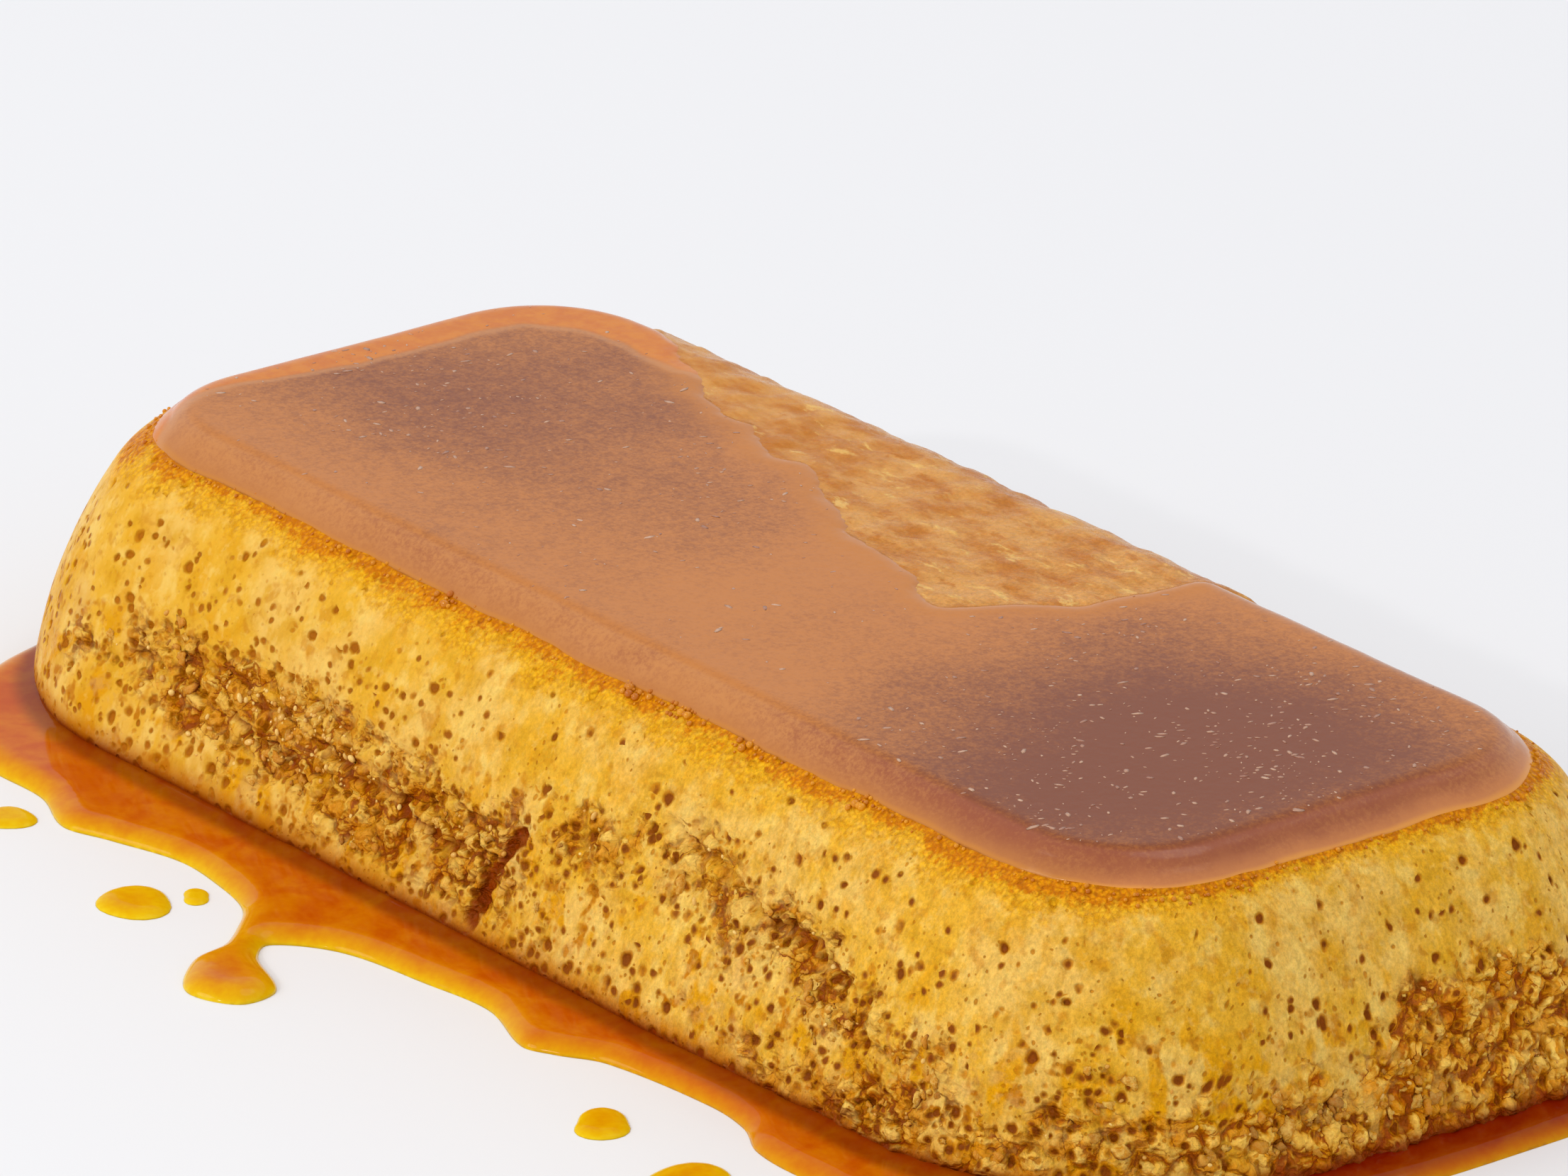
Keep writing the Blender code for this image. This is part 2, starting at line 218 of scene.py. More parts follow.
# ---------------------------------------------------------------- noise on arrays of points
def lattice(cells, seed):
    """A repeatable number from 0 to 1 for each whole-number cell."""
    h = cells[..., 0].astype(np.uint32) * np.uint32(0x8DA6B343)
    h ^= cells[..., 1].astype(np.uint32) * np.uint32(0xD8163841)
    h ^= cells[..., 2].astype(np.uint32) * np.uint32(0xCB1AB31F)
    h ^= np.uint32(seed * 0x9E3779B1 & 0xFFFFFFFF)
    h = (h ^ (h >> np.uint32(15))) * np.uint32(0x85EBCA6B)
    h = (h ^ (h >> np.uint32(13))) * np.uint32(0xC2B2AE35)
    h ^= h >> np.uint32(16)
    return h / 2.0**32


def value_noise(points, size, seed):
    """Smooth noise from -1 to 1 at points, whose features are about size across."""
    scaled = np.asarray(points, float) / size
    cell = np.floor(scaled).astype(np.int64)
    t = scaled - cell
    t = t * t * (3 - 2 * t)
    total = np.zeros(len(scaled))
    for corner in np.ndindex(2, 2, 2):
        offset = np.array(corner)
        weight = np.prod(np.where(offset, t, 1 - t), axis=1)
        total += weight * lattice(cell + offset, seed)
    return 2 * total - 1


def fractal(points, size, seed, octaves=3):
    total = np.zeros(len(points))
    for octave in range(octaves):
        total += value_noise(points, size / 2**octave, seed + octave) / 2**octave
    return total


def smoothstep(low, high, value):
    t = np.clip((value - low) / (high - low), 0.0, 1.0)
    return t * t * (3 - 2 * t)


def bell(value, middle, width):
    """A soft peak: 1 at the middle, fading over the width on both sides."""
    return np.exp(-(((value - middle) / width) ** 2))


def at_height(places, z):
    """Places on a plane as points in space, all at one height."""
    return np.column_stack([places[:, :2], np.full(len(places), z)])


# ---------------------------------------------------------------- outlines and distances
def smooth_closed(points, step):
    """A closed smooth curve through the points, resampled about every step."""
    p = np.array(points, float)
    after = np.roll(p, -1, axis=0)
    before = np.roll(p, 1, axis=0)
    chord = np.linalg.norm(after - p, axis=1)
    slope = (after - before) / (chord + np.roll(chord, 1))[:, None]
    pieces = []
    for i in range(len(p)):
        j = (i + 1) % len(p)
        count = max(2, int(round(chord[i] / step)))
        t = (np.arange(count) / count)[:, None]
        start = (2 * t**3 - 3 * t**2 + 1) * p[i] + (t**3 - 2 * t**2 + t) * slope[i] * chord[i]
        end = (3 * t**2 - 2 * t**3) * p[j] + (t**3 - t**2) * slope[j] * chord[i]
        pieces.append(start + end)
    return np.concatenate(pieces)


def distance_to(points, line, closed=True):
    """How far each point lies from a line of points, on a plane."""
    a = np.asarray(line, float)
    b = np.roll(a, -1, axis=0)
    if not closed:
        a, b = a[:-1], b[:-1]
    along = b - a
    length2 = np.maximum((along**2).sum(1), 1e-12)
    nearest = np.empty(len(points))
    for start in range(0, len(points), 4000):
        part = points[start:start + 4000, None, :] - a
        share = np.clip((part * along).sum(2) / length2, 0, 1)
        gap = part - share[..., None] * along
        nearest[start:start + 4000] = np.sqrt((gap**2).sum(2).min(1))
    return nearest


def inside(points, outline):
    """Which points lie inside a closed outline."""
    x, y = points[:, 0], points[:, 1]
    found = np.zeros(len(points), bool)
    previous = outline[-1]
    for current in outline:
        crosses = (current[1] > y) != (previous[1] > y)
        rise = previous[1] - current[1]
        at = (previous[0] - current[0]) * (y - current[1]) / (rise if rise else 1e-12) + current[0]
        found ^= crosses & (x < at)
        previous = current
    return found


# ---------------------------------------------------------------- the loaf's surface
LONG_STEPS = 262
SHORT_STEPS = 60
CORNER_STEPS = 88
FOOT_LEVELS = 13
SIDE_LEVELS = 45
RIM_LEVELS = 19


def rounded_rectangle(inset, radius, long_steps, short_steps, corner_steps):
    """Points round a rounded rectangle and their outward directions, counter-clockwise."""
    half_x = HALF_LENGTH - inset
    half_y = HALF_WIDTH - inset
    corners = (
        (half_x - radius, half_y - radius, 0, long_steps),
        (radius - half_x, half_y - radius, 90, short_steps),
        (radius - half_x, radius - half_y, 180, long_steps),
        (half_x - radius, radius - half_y, 270, short_steps),
    )
    places, directions = [], []
    for index, (cx, cy, start, straight_steps) in enumerate(corners):
        angle = np.radians(start + 90.0 * np.arange(corner_steps + 1) / corner_steps)
        out = np.stack([np.cos(angle), np.sin(angle)], axis=1)
        arc = np.array([cx, cy]) + radius * out
        next_x, next_y, next_start, _ = corners[(index + 1) % 4]
        turn = math.radians(next_start)
        target = np.array([next_x + radius * math.cos(turn), next_y + radius * math.sin(turn)])
        share = (np.arange(1, straight_steps) / straight_steps)[:, None]
        places += [arc, arc[-1] + (target - arc[-1]) * share]
        directions += [out, np.repeat(out[-1:], straight_steps - 1, axis=0)]
    return np.concatenate(places), np.concatenate(directions)


def custard_profile():
    """(inset, z, rounding inset, rim angle) up the outside, from the foot to the flat top."""
    levels = []
    for step in range(FOOT_LEVELS + 1):
        angle = math.radians(90.0 * step / FOOT_LEVELS)
        rounding = FOOT_ROUNDING * (1 - math.sin(angle))
        z = FOOT_ROUNDING * (1 - math.cos(angle))
        levels.append((side_inset(z) + rounding, z, rounding, 0.0))
    rim_start = CUSTARD_HEIGHT - RIM_ROUNDING
    for step in range(1, SIDE_LEVELS):
        z = FOOT_ROUNDING + (rim_start - FOOT_ROUNDING) * step / SIDE_LEVELS
        levels.append((side_inset(z), z, 0.0, 0.0))
    for step in range(RIM_LEVELS + 1):
        angle = math.radians(90.0 * step / RIM_LEVELS)
        rounding = RIM_ROUNDING * (1 - math.cos(angle))
        z = rim_start + RIM_ROUNDING * math.sin(angle)
        levels.append((side_inset(z) + rounding, z, rounding, angle))
    return np.array(levels)


def film_edge_angle(directions, places):
    """How far round the rim the film's edge lies at each station: 90 degrees is the flat top."""
    out_x, out_y = directions[:, 0], directions[:, 1]
    angle = (
        FILM_EDGE_ENDS * out_x**2
        + FILM_EDGE_NEAR_SIDE * out_y**2 * (out_y < 0)
        + FILM_EDGE_FAR_SIDE * out_y**2 * (out_y >= 0)
    )
    return angle + FILM_EDGE_WANDER * fractal(at_height(places, 0.0), 9.0, 21, 4) * 0.6


def rings_of(profile):
    """Points of every level and station, and each station's outward direction."""
    rings = []
    for inset, z, rounding, _ in profile:
        radius = max(corner_radius(z) - rounding, 3.0)
        places, directions = rounded_rectangle(
            inset, radius, LONG_STEPS, SHORT_STEPS, CORNER_STEPS
        )
        rings.append(at_height(places, z))
    return np.array(rings), directions


def grid_faces(index):
    """Faces between the neighbouring rows and columns of a table of point numbers."""
    low, high = index[:-1], index[1:]
    corners = (low[:, :-1], low[:, 1:], high[:, 1:], high[:, :-1])
    return np.stack([corner.ravel() for corner in corners], axis=1).tolist()


def ring_faces(rows, columns):
    """Faces between rings of points, each ring closed on itself."""
    index = np.arange(rows * columns).reshape(rows, columns)
    return grid_faces(np.column_stack([index, index[:, 0]]))


def make_object(name, points_mm, faces, attributes=None):
    """A smooth-shaded mesh object with float or vector attributes on its points."""
    mesh = bpy.data.meshes.new(name)
    mesh.from_pydata((np.asarray(points_mm) * MM).tolist(), [], faces)
    for key, values in (attributes or {}).items():
        values = np.asarray(values, np.float32)
        kind = "FLOAT_VECTOR" if values.ndim == 2 else "FLOAT"
        layer = mesh.attributes.new(key, kind, "POINT")
        layer.data.foreach_set("vector" if values.ndim == 2 else "value", values.ravel())
    mesh.shade_smooth()
    obj = bpy.data.objects.new(name, mesh)
    bpy.context.scene.collection.objects.link(obj)
    return obj


def zone_strength(points, zones):
    """The sum of soft ellipsoidal zones at each point."""
    total = np.zeros(len(points))
    for centre, sideways, upright, strength in zones:
        across = np.hypot(points[:, 0] - centre[0], points[:, 1] - centre[1]) / sideways
        up = (points[:, 2] - centre[2]) / upright
        total += strength * np.exp(-0.5 * (across**2 + up**2))
    return total


def split_gaps(points):
    """The near side's points, their places bent by noise, and for each split the gap and mouth."""
    near = np.flatnonzero(points[:, 1] < -0.55 * HALF_WIDTH)
    bend_x = 0.75 * fractal(points[near], 2.6, 51, 3)
    bend_z = 0.55 * fractal(points[near], 2.1, 57, 3)
    side = points[near][:, [0, 2]] + np.column_stack([bend_x, bend_z])
    uneven = 1 + 0.4 * fractal(points[near], 1.5, 63, 2)
    lines = [np.array(path, float) for path, _, _, _ in SPLITS]
    gaps = [distance_to(side, line, closed=False) for line in lines]
    return near, side, uneven, list(zip(lines, gaps, SPLITS))


def split_relief(points):
    """Inward depth of the splits less the ledges over them, on the near long side."""
    relief = np.zeros(len(points))
    near, side, uneven, splits = split_gaps(points)
    for line, gap, (_, half_mouth, depth, ledge) in splits:
        order = np.argsort(line[:, 0])
        height = np.interp(side[:, 0], line[order, 0], line[order, 1])
        above = smoothstep(-0.3, 0.5, side[:, 1] - height)
        cut = depth * np.exp(-((gap / (half_mouth * uneven)) ** 2))
        relief[near] += cut - ledge * above * bell(gap, 1.2, 0.8)
    return relief


def split_shade(points):
    """How dark the splits are: 1 deep inside the deepest."""
    shade = np.zeros(len(points))
    deepest = max(depth for _, _, depth, _ in SPLITS)
    near, _, uneven, splits = split_gaps(points)
    for _, gap, (_, half_mouth, depth, _) in splits:
        dark = (depth / deepest) ** 3 * np.exp(-((gap / (1.15 * half_mouth * uneven)) ** 2))
        shade[near] = np.maximum(shade[near], dark)
    return shade


def foot_lip(z):
    """The smooth rounded lip at the foot stands a little proud."""
    return 0.45 * bell(z, 1.7, 1.1)


def below_film_edge(profile, top_ring, directions):
    """How far below the film's edge each point of the rings lies, along the skin."""
    travelled = np.concatenate([[0], np.cumsum(np.hypot(*np.diff(profile[:, :2], axis=0).T))])
    rim = slice(len(profile) - RIM_LEVELS - 1, None)
    edge_angle = film_edge_angle(directions, top_ring[:, :2])
    edge_at = np.interp(edge_angle, profile[rim, 3], travelled[rim])
    return (edge_at[None, :] - travelled[:, None]).ravel()


def broken_up(points):
    """How far the skin has broken up into crumb, from 0 to 1."""
    uneven = 1 + 0.5 * fractal(points, 5.0, 3, 4)
    return smoothstep(0.1, 1.05, 0.9 * zone_strength(points, CRUMB_ZONES) * uneven)


def over_rim(points):
    """0 on the sides and 1 over the rim, with a worn line between them."""
    worn = points[:, 2] + 0.8 * fractal(points, 3.0, 43, 3)
    return smoothstep(-0.9 * RIM_ROUNDING, -0.35 * RIM_ROUNDING, worn - CUSTARD_HEIGHT)


def weathered(points, out, uncovered, bare):
    """The points moved in at the hollows and splits, and up where the bare patch swells."""
    z = points[:, 2]
    inward = zone_strength(points, HOLLOWS) + split_relief(points)
    inward -= foot_lip(z) * (z > 0.01)
    inward += 0.22 * fractal(points, 13.0, 7, 3) * uncovered
    near_rim = smoothstep(CUSTARD_HEIGHT - RIM_ROUNDING, CUSTARD_HEIGHT - 1.0, z)
    moved = points - out * inward[:, None]
    moved[:, 2] += BARE_SWELL * smoothstep(-3.2, -0.7, bare) * near_rim
    return moved


def make_custard():
    """The whole loaf: foot, sides and rim as rings, and the fine top under the bare patch."""
    profile = custard_profile()
    rings, directions = rings_of(profile)
    levels, stations = rings.shape[:2]
    top_points, top_faces, hole = bare_top(rings[-1], levels * stations)
    faces = ring_faces(levels, stations) + top_faces
    faces += [hole, list(range(stations))[::-1]]
    points = np.concatenate([rings.reshape(-1, 3), top_points])
    ring_out = np.tile(np.column_stack([directions, np.zeros(stations)]), (levels, 1))
    out = np.concatenate([ring_out, np.zeros((len(top_points), 3))])
    ring_below = below_film_edge(profile, rings[-1], directions)
    below_film = np.concatenate([ring_below, np.full(len(top_points), -10.0)])
    bare = bareness(points)
    uncovered = np.maximum(smoothstep(-1.2, 0.2, below_film), smoothstep(-1.0, 1.0, bare))
    attributes = {
        "rest": points * MM,
        "crumb": broken_up(points),
        "below_film": np.where(bare > -4.0, 20.0, below_film),
        "bare": smoothstep(-3.0, -1.0, bare) * over_rim(points),
        "uncovered": uncovered,
        "split": split_shade(points),
        "facing": out,
    }
    moved = weathered(points, out, uncovered, bare)
    return make_object("baked_custard", moved, faces, attributes)


def bare_top(inner_ring, first_index):
    """The custard's flat top, fine where the film leaves it bare and one face elsewhere."""
    far = np.flatnonzero(
        (inner_ring[:, 1] > inner_ring[:, 1].max() - 0.01)
        & (inner_ring[:, 0] > BARE_PATCH_LOW_X)
        & (inner_ring[:, 0] < BARE_PATCH_HIGH_X)
    )
    depth = inner_ring[far[0], 1] - BARE_PATCH_LOW_Y
    rows = int(round(depth / TOP_STEP))
    points = []
    for row in range(1, rows + 1):
        shifted = inner_ring[far].copy()
        shifted[:, 1] -= depth * row / rows
        points.append(shifted)
    index = first_index + np.arange(rows * len(far)).reshape(rows, len(far))
    ring_start = first_index - len(inner_ring)
    index = np.vstack([ring_start + far, index])
    beyond = np.arange(far[-1] + 1, far[0] + len(inner_ring)) % len(inner_ring)
    hole = np.concatenate([
        ring_start + beyond, index[:, 0], index[-1, 1:], index[1:-1, -1][::-1], index[:1, -1],
    ])
    return np.concatenate(points), grid_faces(index), hole.tolist()


def bareness(points):
    """How far inside the bare patch each point lies, with a ragged edge; negative is outside."""
    outline = smooth_closed(BARE_PATCH, 1.0)
    flat = points[:, :2]
    gap = distance_to(flat, outline)
    signed = np.where(inside(flat, outline), gap, -gap)
    signed = signed + 0.7 * fractal(at_height(flat, 0.0), 5.0, 31, 3)
    return np.where(points[:, 2] < CUSTARD_HEIGHT - 0.93 * RIM_ROUNDING, -20.0, signed)


# ---------------------------------------------------------------- the caramel film
def film_rise(along):
    """The film's thickness at a distance from its outer edge."""
    share = np.clip(along / FILM_EDGE_WIDTH, 0, 1)
    return FILM_THICKNESS * (1 - (1 - share) ** 2) - 0.12 * (1 - share) ** 4


def film_fall(outside):
    """How far the film's top drops towards and under the bare patch."""
    fall = 0.2 * smoothstep(1.3, 0.0, outside)
    ridge = FILM_RIDGE * bell(outside, 1.8, 0.8)
    under = smoothstep(0.0, -1.2, outside)
    return ridge - fall - under * (FILM_THICKNESS + FILM_SINK)


def film_bed():
    """The ring round the flat top, from which the film's rim is measured."""
    top_inset = side_inset(CUSTARD_HEIGHT) + RIM_ROUNDING
    top_radius = corner_radius(CUSTARD_HEIGHT) - RIM_ROUNDING
    return rounded_rectangle(top_inset, top_radius, LONG_STEPS, SHORT_STEPS, CORNER_STEPS)


def film_rim(top_ring, directions):
    """Rows of the film over the rim's rounding, from its thin edge up to the flat."""
    edge = film_edge_angle(directions, top_ring)
    rows, travel = [], []
    for step in range(FILM_RIM_LEVELS + 1):
        angle = edge + (math.pi / 2 - edge) * step / FILM_RIM_LEVELS
        along = (angle - edge) * RIM_ROUNDING
        reach = RIM_ROUNDING + film_rise(along)
        z = CUSTARD_HEIGHT - RIM_ROUNDING + reach * np.sin(angle)
        lean = side_inset(np.minimum(z, CUSTARD_HEIGHT)) - side_inset(CUSTARD_HEIGHT)
        outward = reach * np.cos(angle) - lean
        rows.append(np.column_stack([top_ring + directions * outward[:, None], z]))
        travel.append(along)
    return rows, travel


def film_edges(flat, edge_outline):
    """Near the film's outer edge: how thin it looks, and the orange band of its far edges."""
    low, high = edge_outline.min(axis=0), edge_outline.max(axis=0)
    gaps = np.stack([
        flat[:, 0] - low[0], high[0] - flat[:, 0], flat[:, 1] - low[1], high[1] - flat[:, 1],
    ])
    weights = np.exp(-np.clip(gaps, 0, 80) / 7.0)
    weights /= weights.sum(axis=0)
    glow_width = (weights * np.array(GLOW_WIDTHS)[:, None]).sum(axis=0)
    band_width = (weights * np.array(BAND_WIDTHS)[:, None]).sum(axis=0)
    from_edge = distance_to(flat, edge_outline)
    wander = fractal(at_height(flat, 0.0), 7.0, 41, 3)
    glow = np.exp(-((from_edge / (glow_width * (1 + 0.25 * wander))) ** 1.1))
    band = smoothstep(1.7, -1.7, from_edge - band_width + 0.8 * wander)
    band *= smoothstep(10.0, -20.0, flat[:, 0])
    return glow, band


def make_film():
    """A closed lens of caramel: over the rim's rounding, then across the flat top."""
    top_ring, directions = film_bed()
    rows, travel = film_rim(top_ring, directions)
    count = len(top_ring)
    faces = ring_faces(len(rows), count)
    faces.append(list(range(count))[::-1])
    inner = hex_points(top_ring.min(0), top_ring.max(0), FILM_SPACING)
    keep = inside(inner, top_ring) & (distance_to(inner, top_ring) > 0.5 * FILM_SPACING)
    inner = inner[keep]
    flat = np.concatenate([top_ring, inner])
    result = geometry.delaunay_2d_cdt(
        [Vector(p) for p in flat.tolist()], loop_edges(0, count), [], 1, 1e-7
    )
    if len(result[0]) != len(flat):
        raise RuntimeError("the film's top gained or lost points")
    first = (len(rows) - 1) * count
    faces += (np.array(result[2]) + first).tolist()
    along = distance_to(inner, top_ring) + travel[-1].mean()
    rows.append(np.column_stack([inner, CUSTARD_HEIGHT + film_rise(along)]))
    points = np.concatenate(rows)
    on_top = at_height(points, CUSTARD_HEIGHT)
    outside = -bareness(on_top)
    points[:, 2] += film_fall(outside)
    depth = sum(
        strength * np.exp(-(np.hypot((points[:, 0] - cx) / rx, (points[:, 1] - cy) / ry) ** 3))
        for (cx, cy), (rx, ry), strength in FILM_POOLS
    )
    depth *= 1 - 0.3 * smoothstep(73.0, 79.0, points[:, 0])
    glow, band = film_edges(points[:, :2], rows[0][:, :2])
    attributes = {
        "rest": points * MM,
        "band": band,
        "pool": depth + 0.1 * fractal(on_top, 13.0, 45, 4),
        "glow": glow,
        "from_bare": np.clip(outside, 0, 30),
    }
    return make_object("caramel_glaze", points, faces, attributes)


# ---------------------------------------------------------------- sauce and drops
def loaf_outline(z, extra):
    """The loaf's outline near its foot, pushed in by extra."""
    angle = math.acos(1 - z / FOOT_ROUNDING)
    rounding = FOOT_ROUNDING * (1 - math.sin(angle))
    inset = side_inset(z) + rounding + extra
    places, _ = rounded_rectangle(inset, corner_radius(z) - rounding - extra, 130, 30, 40)
    return places


def inward_normals(outline):
    tangent = np.roll(outline, -1, axis=0) - np.roll(outline, 1, axis=0)
    tangent /= np.linalg.norm(tangent, axis=1)[:, None]
    return np.column_stack([-tangent[:, 1], tangent[:, 0]])


def edge_rows(outline, offsets):
    """Rows of points just inside an outline, leaving out those that a far bend comes near."""
    normals = inward_normals(outline)
    rows = []
    for offset in offsets:
        row = outline + normals * offset
        keep = distance_to(row, outline) > 0.93 * offset
        rows.append(row[keep])
    return np.concatenate(rows)


def hex_points(low, high, spacing):
    rows = np.arange(low[1], high[1], spacing * math.sqrt(3) / 2)
    points = []
    for number, y in enumerate(rows):
        x = np.arange(low[0] + (number % 2) * spacing / 2, high[0], spacing)
        points.append(np.column_stack([x, np.full(len(x), y)]))
    return np.concatenate(points)


def loop_edges(first, count):
    return [(first + i, first + (i + 1) % count) for i in range(count)]


def puddle(name, outline, height, edge_width, spacing, foot=None):
    """A pool of liquid on the surface, closed below, whose edge rises from nothing."""
    offsets = [share * edge_width for share in (0.05, 0.13, 0.24, 0.38, 0.56, 0.78)]
    free = hex_points(outline.min(0), outline.max(0), spacing)
    keep = inside(free, outline) & (distance_to(free, outline) > 0.9 * edge_width)
    loops = [outline]
    if foot is not None:
        keep &= ~inside(free, foot) & (distance_to(free, foot) > 0.4 * spacing)
        loops.append(foot)
    near_edge = edge_rows(outline, offsets)
    if foot is not None:
        near_edge = near_edge[~inside(near_edge, foot)]
    flat = np.concatenate(loops + [near_edge, free[keep]])
    edges = []
    first = 0
    for loop in loops:
        edges += loop_edges(first, len(loop))
        first += len(loop)
    result = geometry.delaunay_2d_cdt([Vector(p) for p in flat.tolist()], edges, [], 0, 1e-6)
    flat = np.array([tuple(v) for v in result[0]])
    triangles = np.array(result[2])
    middle = flat[triangles].mean(axis=1)
    good = inside(middle, outline)
    if foot is not None:
        good &= ~inside(middle, foot)
    triangles = triangles[good]
    from_edge = distance_to(flat, outline)
    z = height * (1 - (1 - np.clip(from_edge / edge_width, 0, 1)) ** 2) ** 0.7
    from_wall = np.full(len(flat), NO_WALL)
    if foot is not None:
        contact = loaf_outline(height, -foot_lip(height))
        from_wall = np.where(inside(flat, contact), 0.0, distance_to(flat, contact))
        z += SAUCE_CLIMB * np.exp(-from_wall / SAUCE_CLIMB_REACH) * (z / height)
    return closed_sheet(name, flat, z, triangles, from_wall, from_edge)


def closed_sheet(name, flat, z, triangles, from_wall, from_edge):
    """A solid between a height map and the surface, sharing the points where they meet."""
    count = len(flat)
    used = np.unique(triangles)
    low = np.arange(count) + count
    low[z < 1e-4] = np.arange(count)[z < 1e-4]
    faces = triangles.tolist() + low[triangles][:, ::-1].tolist()
    ends = np.concatenate([triangles[:, [0, 1]], triangles[:, [1, 2]], triangles[:, [2, 0]]])
    forward = {(int(a), int(b)) for a, b in ends}
    for a, b in forward:
        if (b, a) in forward or (low[a] == a and low[b] == b):
            continue
        wall = [a, int(low[a]), int(low[b]), b]
        faces.append(list(dict.fromkeys(wall)))
    points = np.concatenate([np.column_stack([flat, z]), np.column_stack([flat, 0 * z])])
    keep = np.zeros(2 * count, bool)
    keep[used] = True
    keep[low[used]] = True
    renumber = np.cumsum(keep) - 1
    faces = [[int(renumber[k]) for k in face] for face in faces]
    points = points[keep]
    near_end = smoothstep(78.0, 89.0, points[:, 0])
    attributes = {
        # The painted shade by the loaf's wall reaches farther at the near end.
        "wall": np.tile(from_wall, 2)[keep] * (1 - 0.3 * near_end),
        "body": sauce_body(points, from_wall.min() < NO_WALL) * (1 + near_end),
        "shore": np.tile(from_edge, 2)[keep],
    }
    return make_object(name, points, faces, attributes)


def sauce_body(points, is_pool):
    """How full the sauce's colour is: thin to the left, in the pool only where it ran out."""
    ran_out = 1 - smoothstep(-62.0, -48.0, points[:, 1]) if is_pool else 1.0
    return 1 - ran_out * (1 - smoothstep(-5.0, 20.0, points[:, 0]))


def make_sauce():
    outline = smooth_closed(SAUCE_EDGE, EDGE_STEP)
    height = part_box("sauce_pool")[1].z / MM
    foot = loaf_outline(height, SAUCE_TUCK)
    return puddle("caramel_sauce", outline, height, SAUCE_EDGE_WIDTH, SAUCE_SPACING, foot)


def make_drop(node):
    """A loose drop: an oval in the node's box, with a slightly uneven outline."""
    low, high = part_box(node)
    number = DROP_NODES.index(node)
    centre = np.array([(low.x + high.x) / 2, (low.y + high.y) / 2]) / MM
    corners = np.array([v.co[:2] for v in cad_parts[node].data.vertices]) / MM - centre
    angle = np.radians(np.arange(0, 360, 6))
    rays = np.column_stack([np.cos(angle), np.sin(angle)])
    reach = (corners @ rays.T).max(axis=0)
    uneven = 1 + 0.05 * np.sin(2 * angle + number) + 0.035 * np.sin(3 * angle + 2.1 * number)
    outline = centre + rays * (reach * uneven * 0.97)[:, None]
    size = min(high.x - low.x, high.y - low.y) / MM
    height = DROP_FLATNESS * high.z / MM
    return puddle(node.replace("sauce", "caramel"), outline, height, 0.26 * size, 0.35)


# ---------------------------------------------------------------- small scattered things
def ball(divisions):
    """Points on a unit ball and its triangles."""
    bm = bmesh.new()
    bmesh.ops.create_icosphere(bm, subdivisions=divisions, radius=1.0)
    bm.verts.index_update()
    points = np.array([v.co[:] for v in bm.verts])
    faces = np.array([[v.index for v in face.verts] for face in bm.faces])
    bm.free()
    return points, faces


def scatter(name, centres, sizes, axes, divisions, roughness, seed):
    """One mesh of many small lumps: centres, half-sizes along their own axes, and those axes."""
    points, faces = ball(divisions)
    count = len(centres)
    each = len(points)
    shape = points[None, :, :] + 7.0 * np.arange(count)[:, None, None]
    uneven = fractal(shape.reshape(-1, 3), 0.9, seed, 3).reshape(count, each, 1)
    local = points[None] * (1 + roughness * uneven) * sizes[:, None, :]
    placed = centres[:, None, :] + np.einsum("nij,nkj->nki", axes.transpose(0, 2, 1), local)
    all_faces = faces[None] + each * np.arange(count)[:, None, None]
    tint = np.random.default_rng(seed).random(count)
    attributes = {
        "rest": placed.reshape(-1, 3) * MM,
        "tint": np.repeat(tint, each),
        "top": np.tile(points[:, 2], count),
    }
    return make_object(name, placed.reshape(-1, 3), all_faces.reshape(-1, 3).tolist(), attributes)


def axes_along(normals, turns):
    """Rows of axes whose third is the normal, turned about it."""
    helper = np.where(np.abs(normals[:, 2:]) > 0.9, [[1.0, 0.0, 0.0]], [[0.0, 0.0, 1.0]])
    first = np.cross(helper, normals)
    first /= np.linalg.norm(first, axis=1)[:, None]
    second = np.cross(normals, first)
    c, s = np.cos(turns)[:, None], np.sin(turns)[:, None]
    return np.stack([c * first + s * second, c * second - s * first, normals], axis=1)


def surface_of(obj, attribute=None):
    """Points (mm), normals and one attribute of an object's mesh."""
    mesh = obj.data
    count = len(mesh.vertices)
    points, normals = np.empty(3 * count), np.empty(3 * count)
    mesh.vertices.foreach_get("co", points)
    mesh.vertex_normals.foreach_get("vector", normals)
    values = np.ones(count)
    if attribute:
        mesh.attributes[attribute].data.foreach_get("value", values)
    return points.reshape(-1, 3) / MM, normals.reshape(-1, 3), values


def area_around(obj):
    """The area that each vertex of the object's mesh stands for."""
    mesh = obj.data
    areas, corners = np.empty(len(mesh.polygons)), np.empty(len(mesh.polygons), int)
    owners = np.empty(len(mesh.loops), int)
    mesh.polygons.foreach_get("area", areas)
    mesh.polygons.foreach_get("loop_total", corners)
    mesh.loops.foreach_get("vertex_index", owners)
    shares = np.repeat(areas / corners, corners)
    return np.bincount(owners, weights=shares, minlength=len(mesh.vertices))


def pick(rng, weight, count):
    """Different vertices, drawn by their weight."""
    return rng.choice(len(weight), count, replace=False, p=weight / weight.sum())


def turned_axes(rng, normals):
    """Axes that stand on the surface, each turned at random."""
    return axes_along(normals, rng.uniform(0, 2 * math.pi, len(normals)))


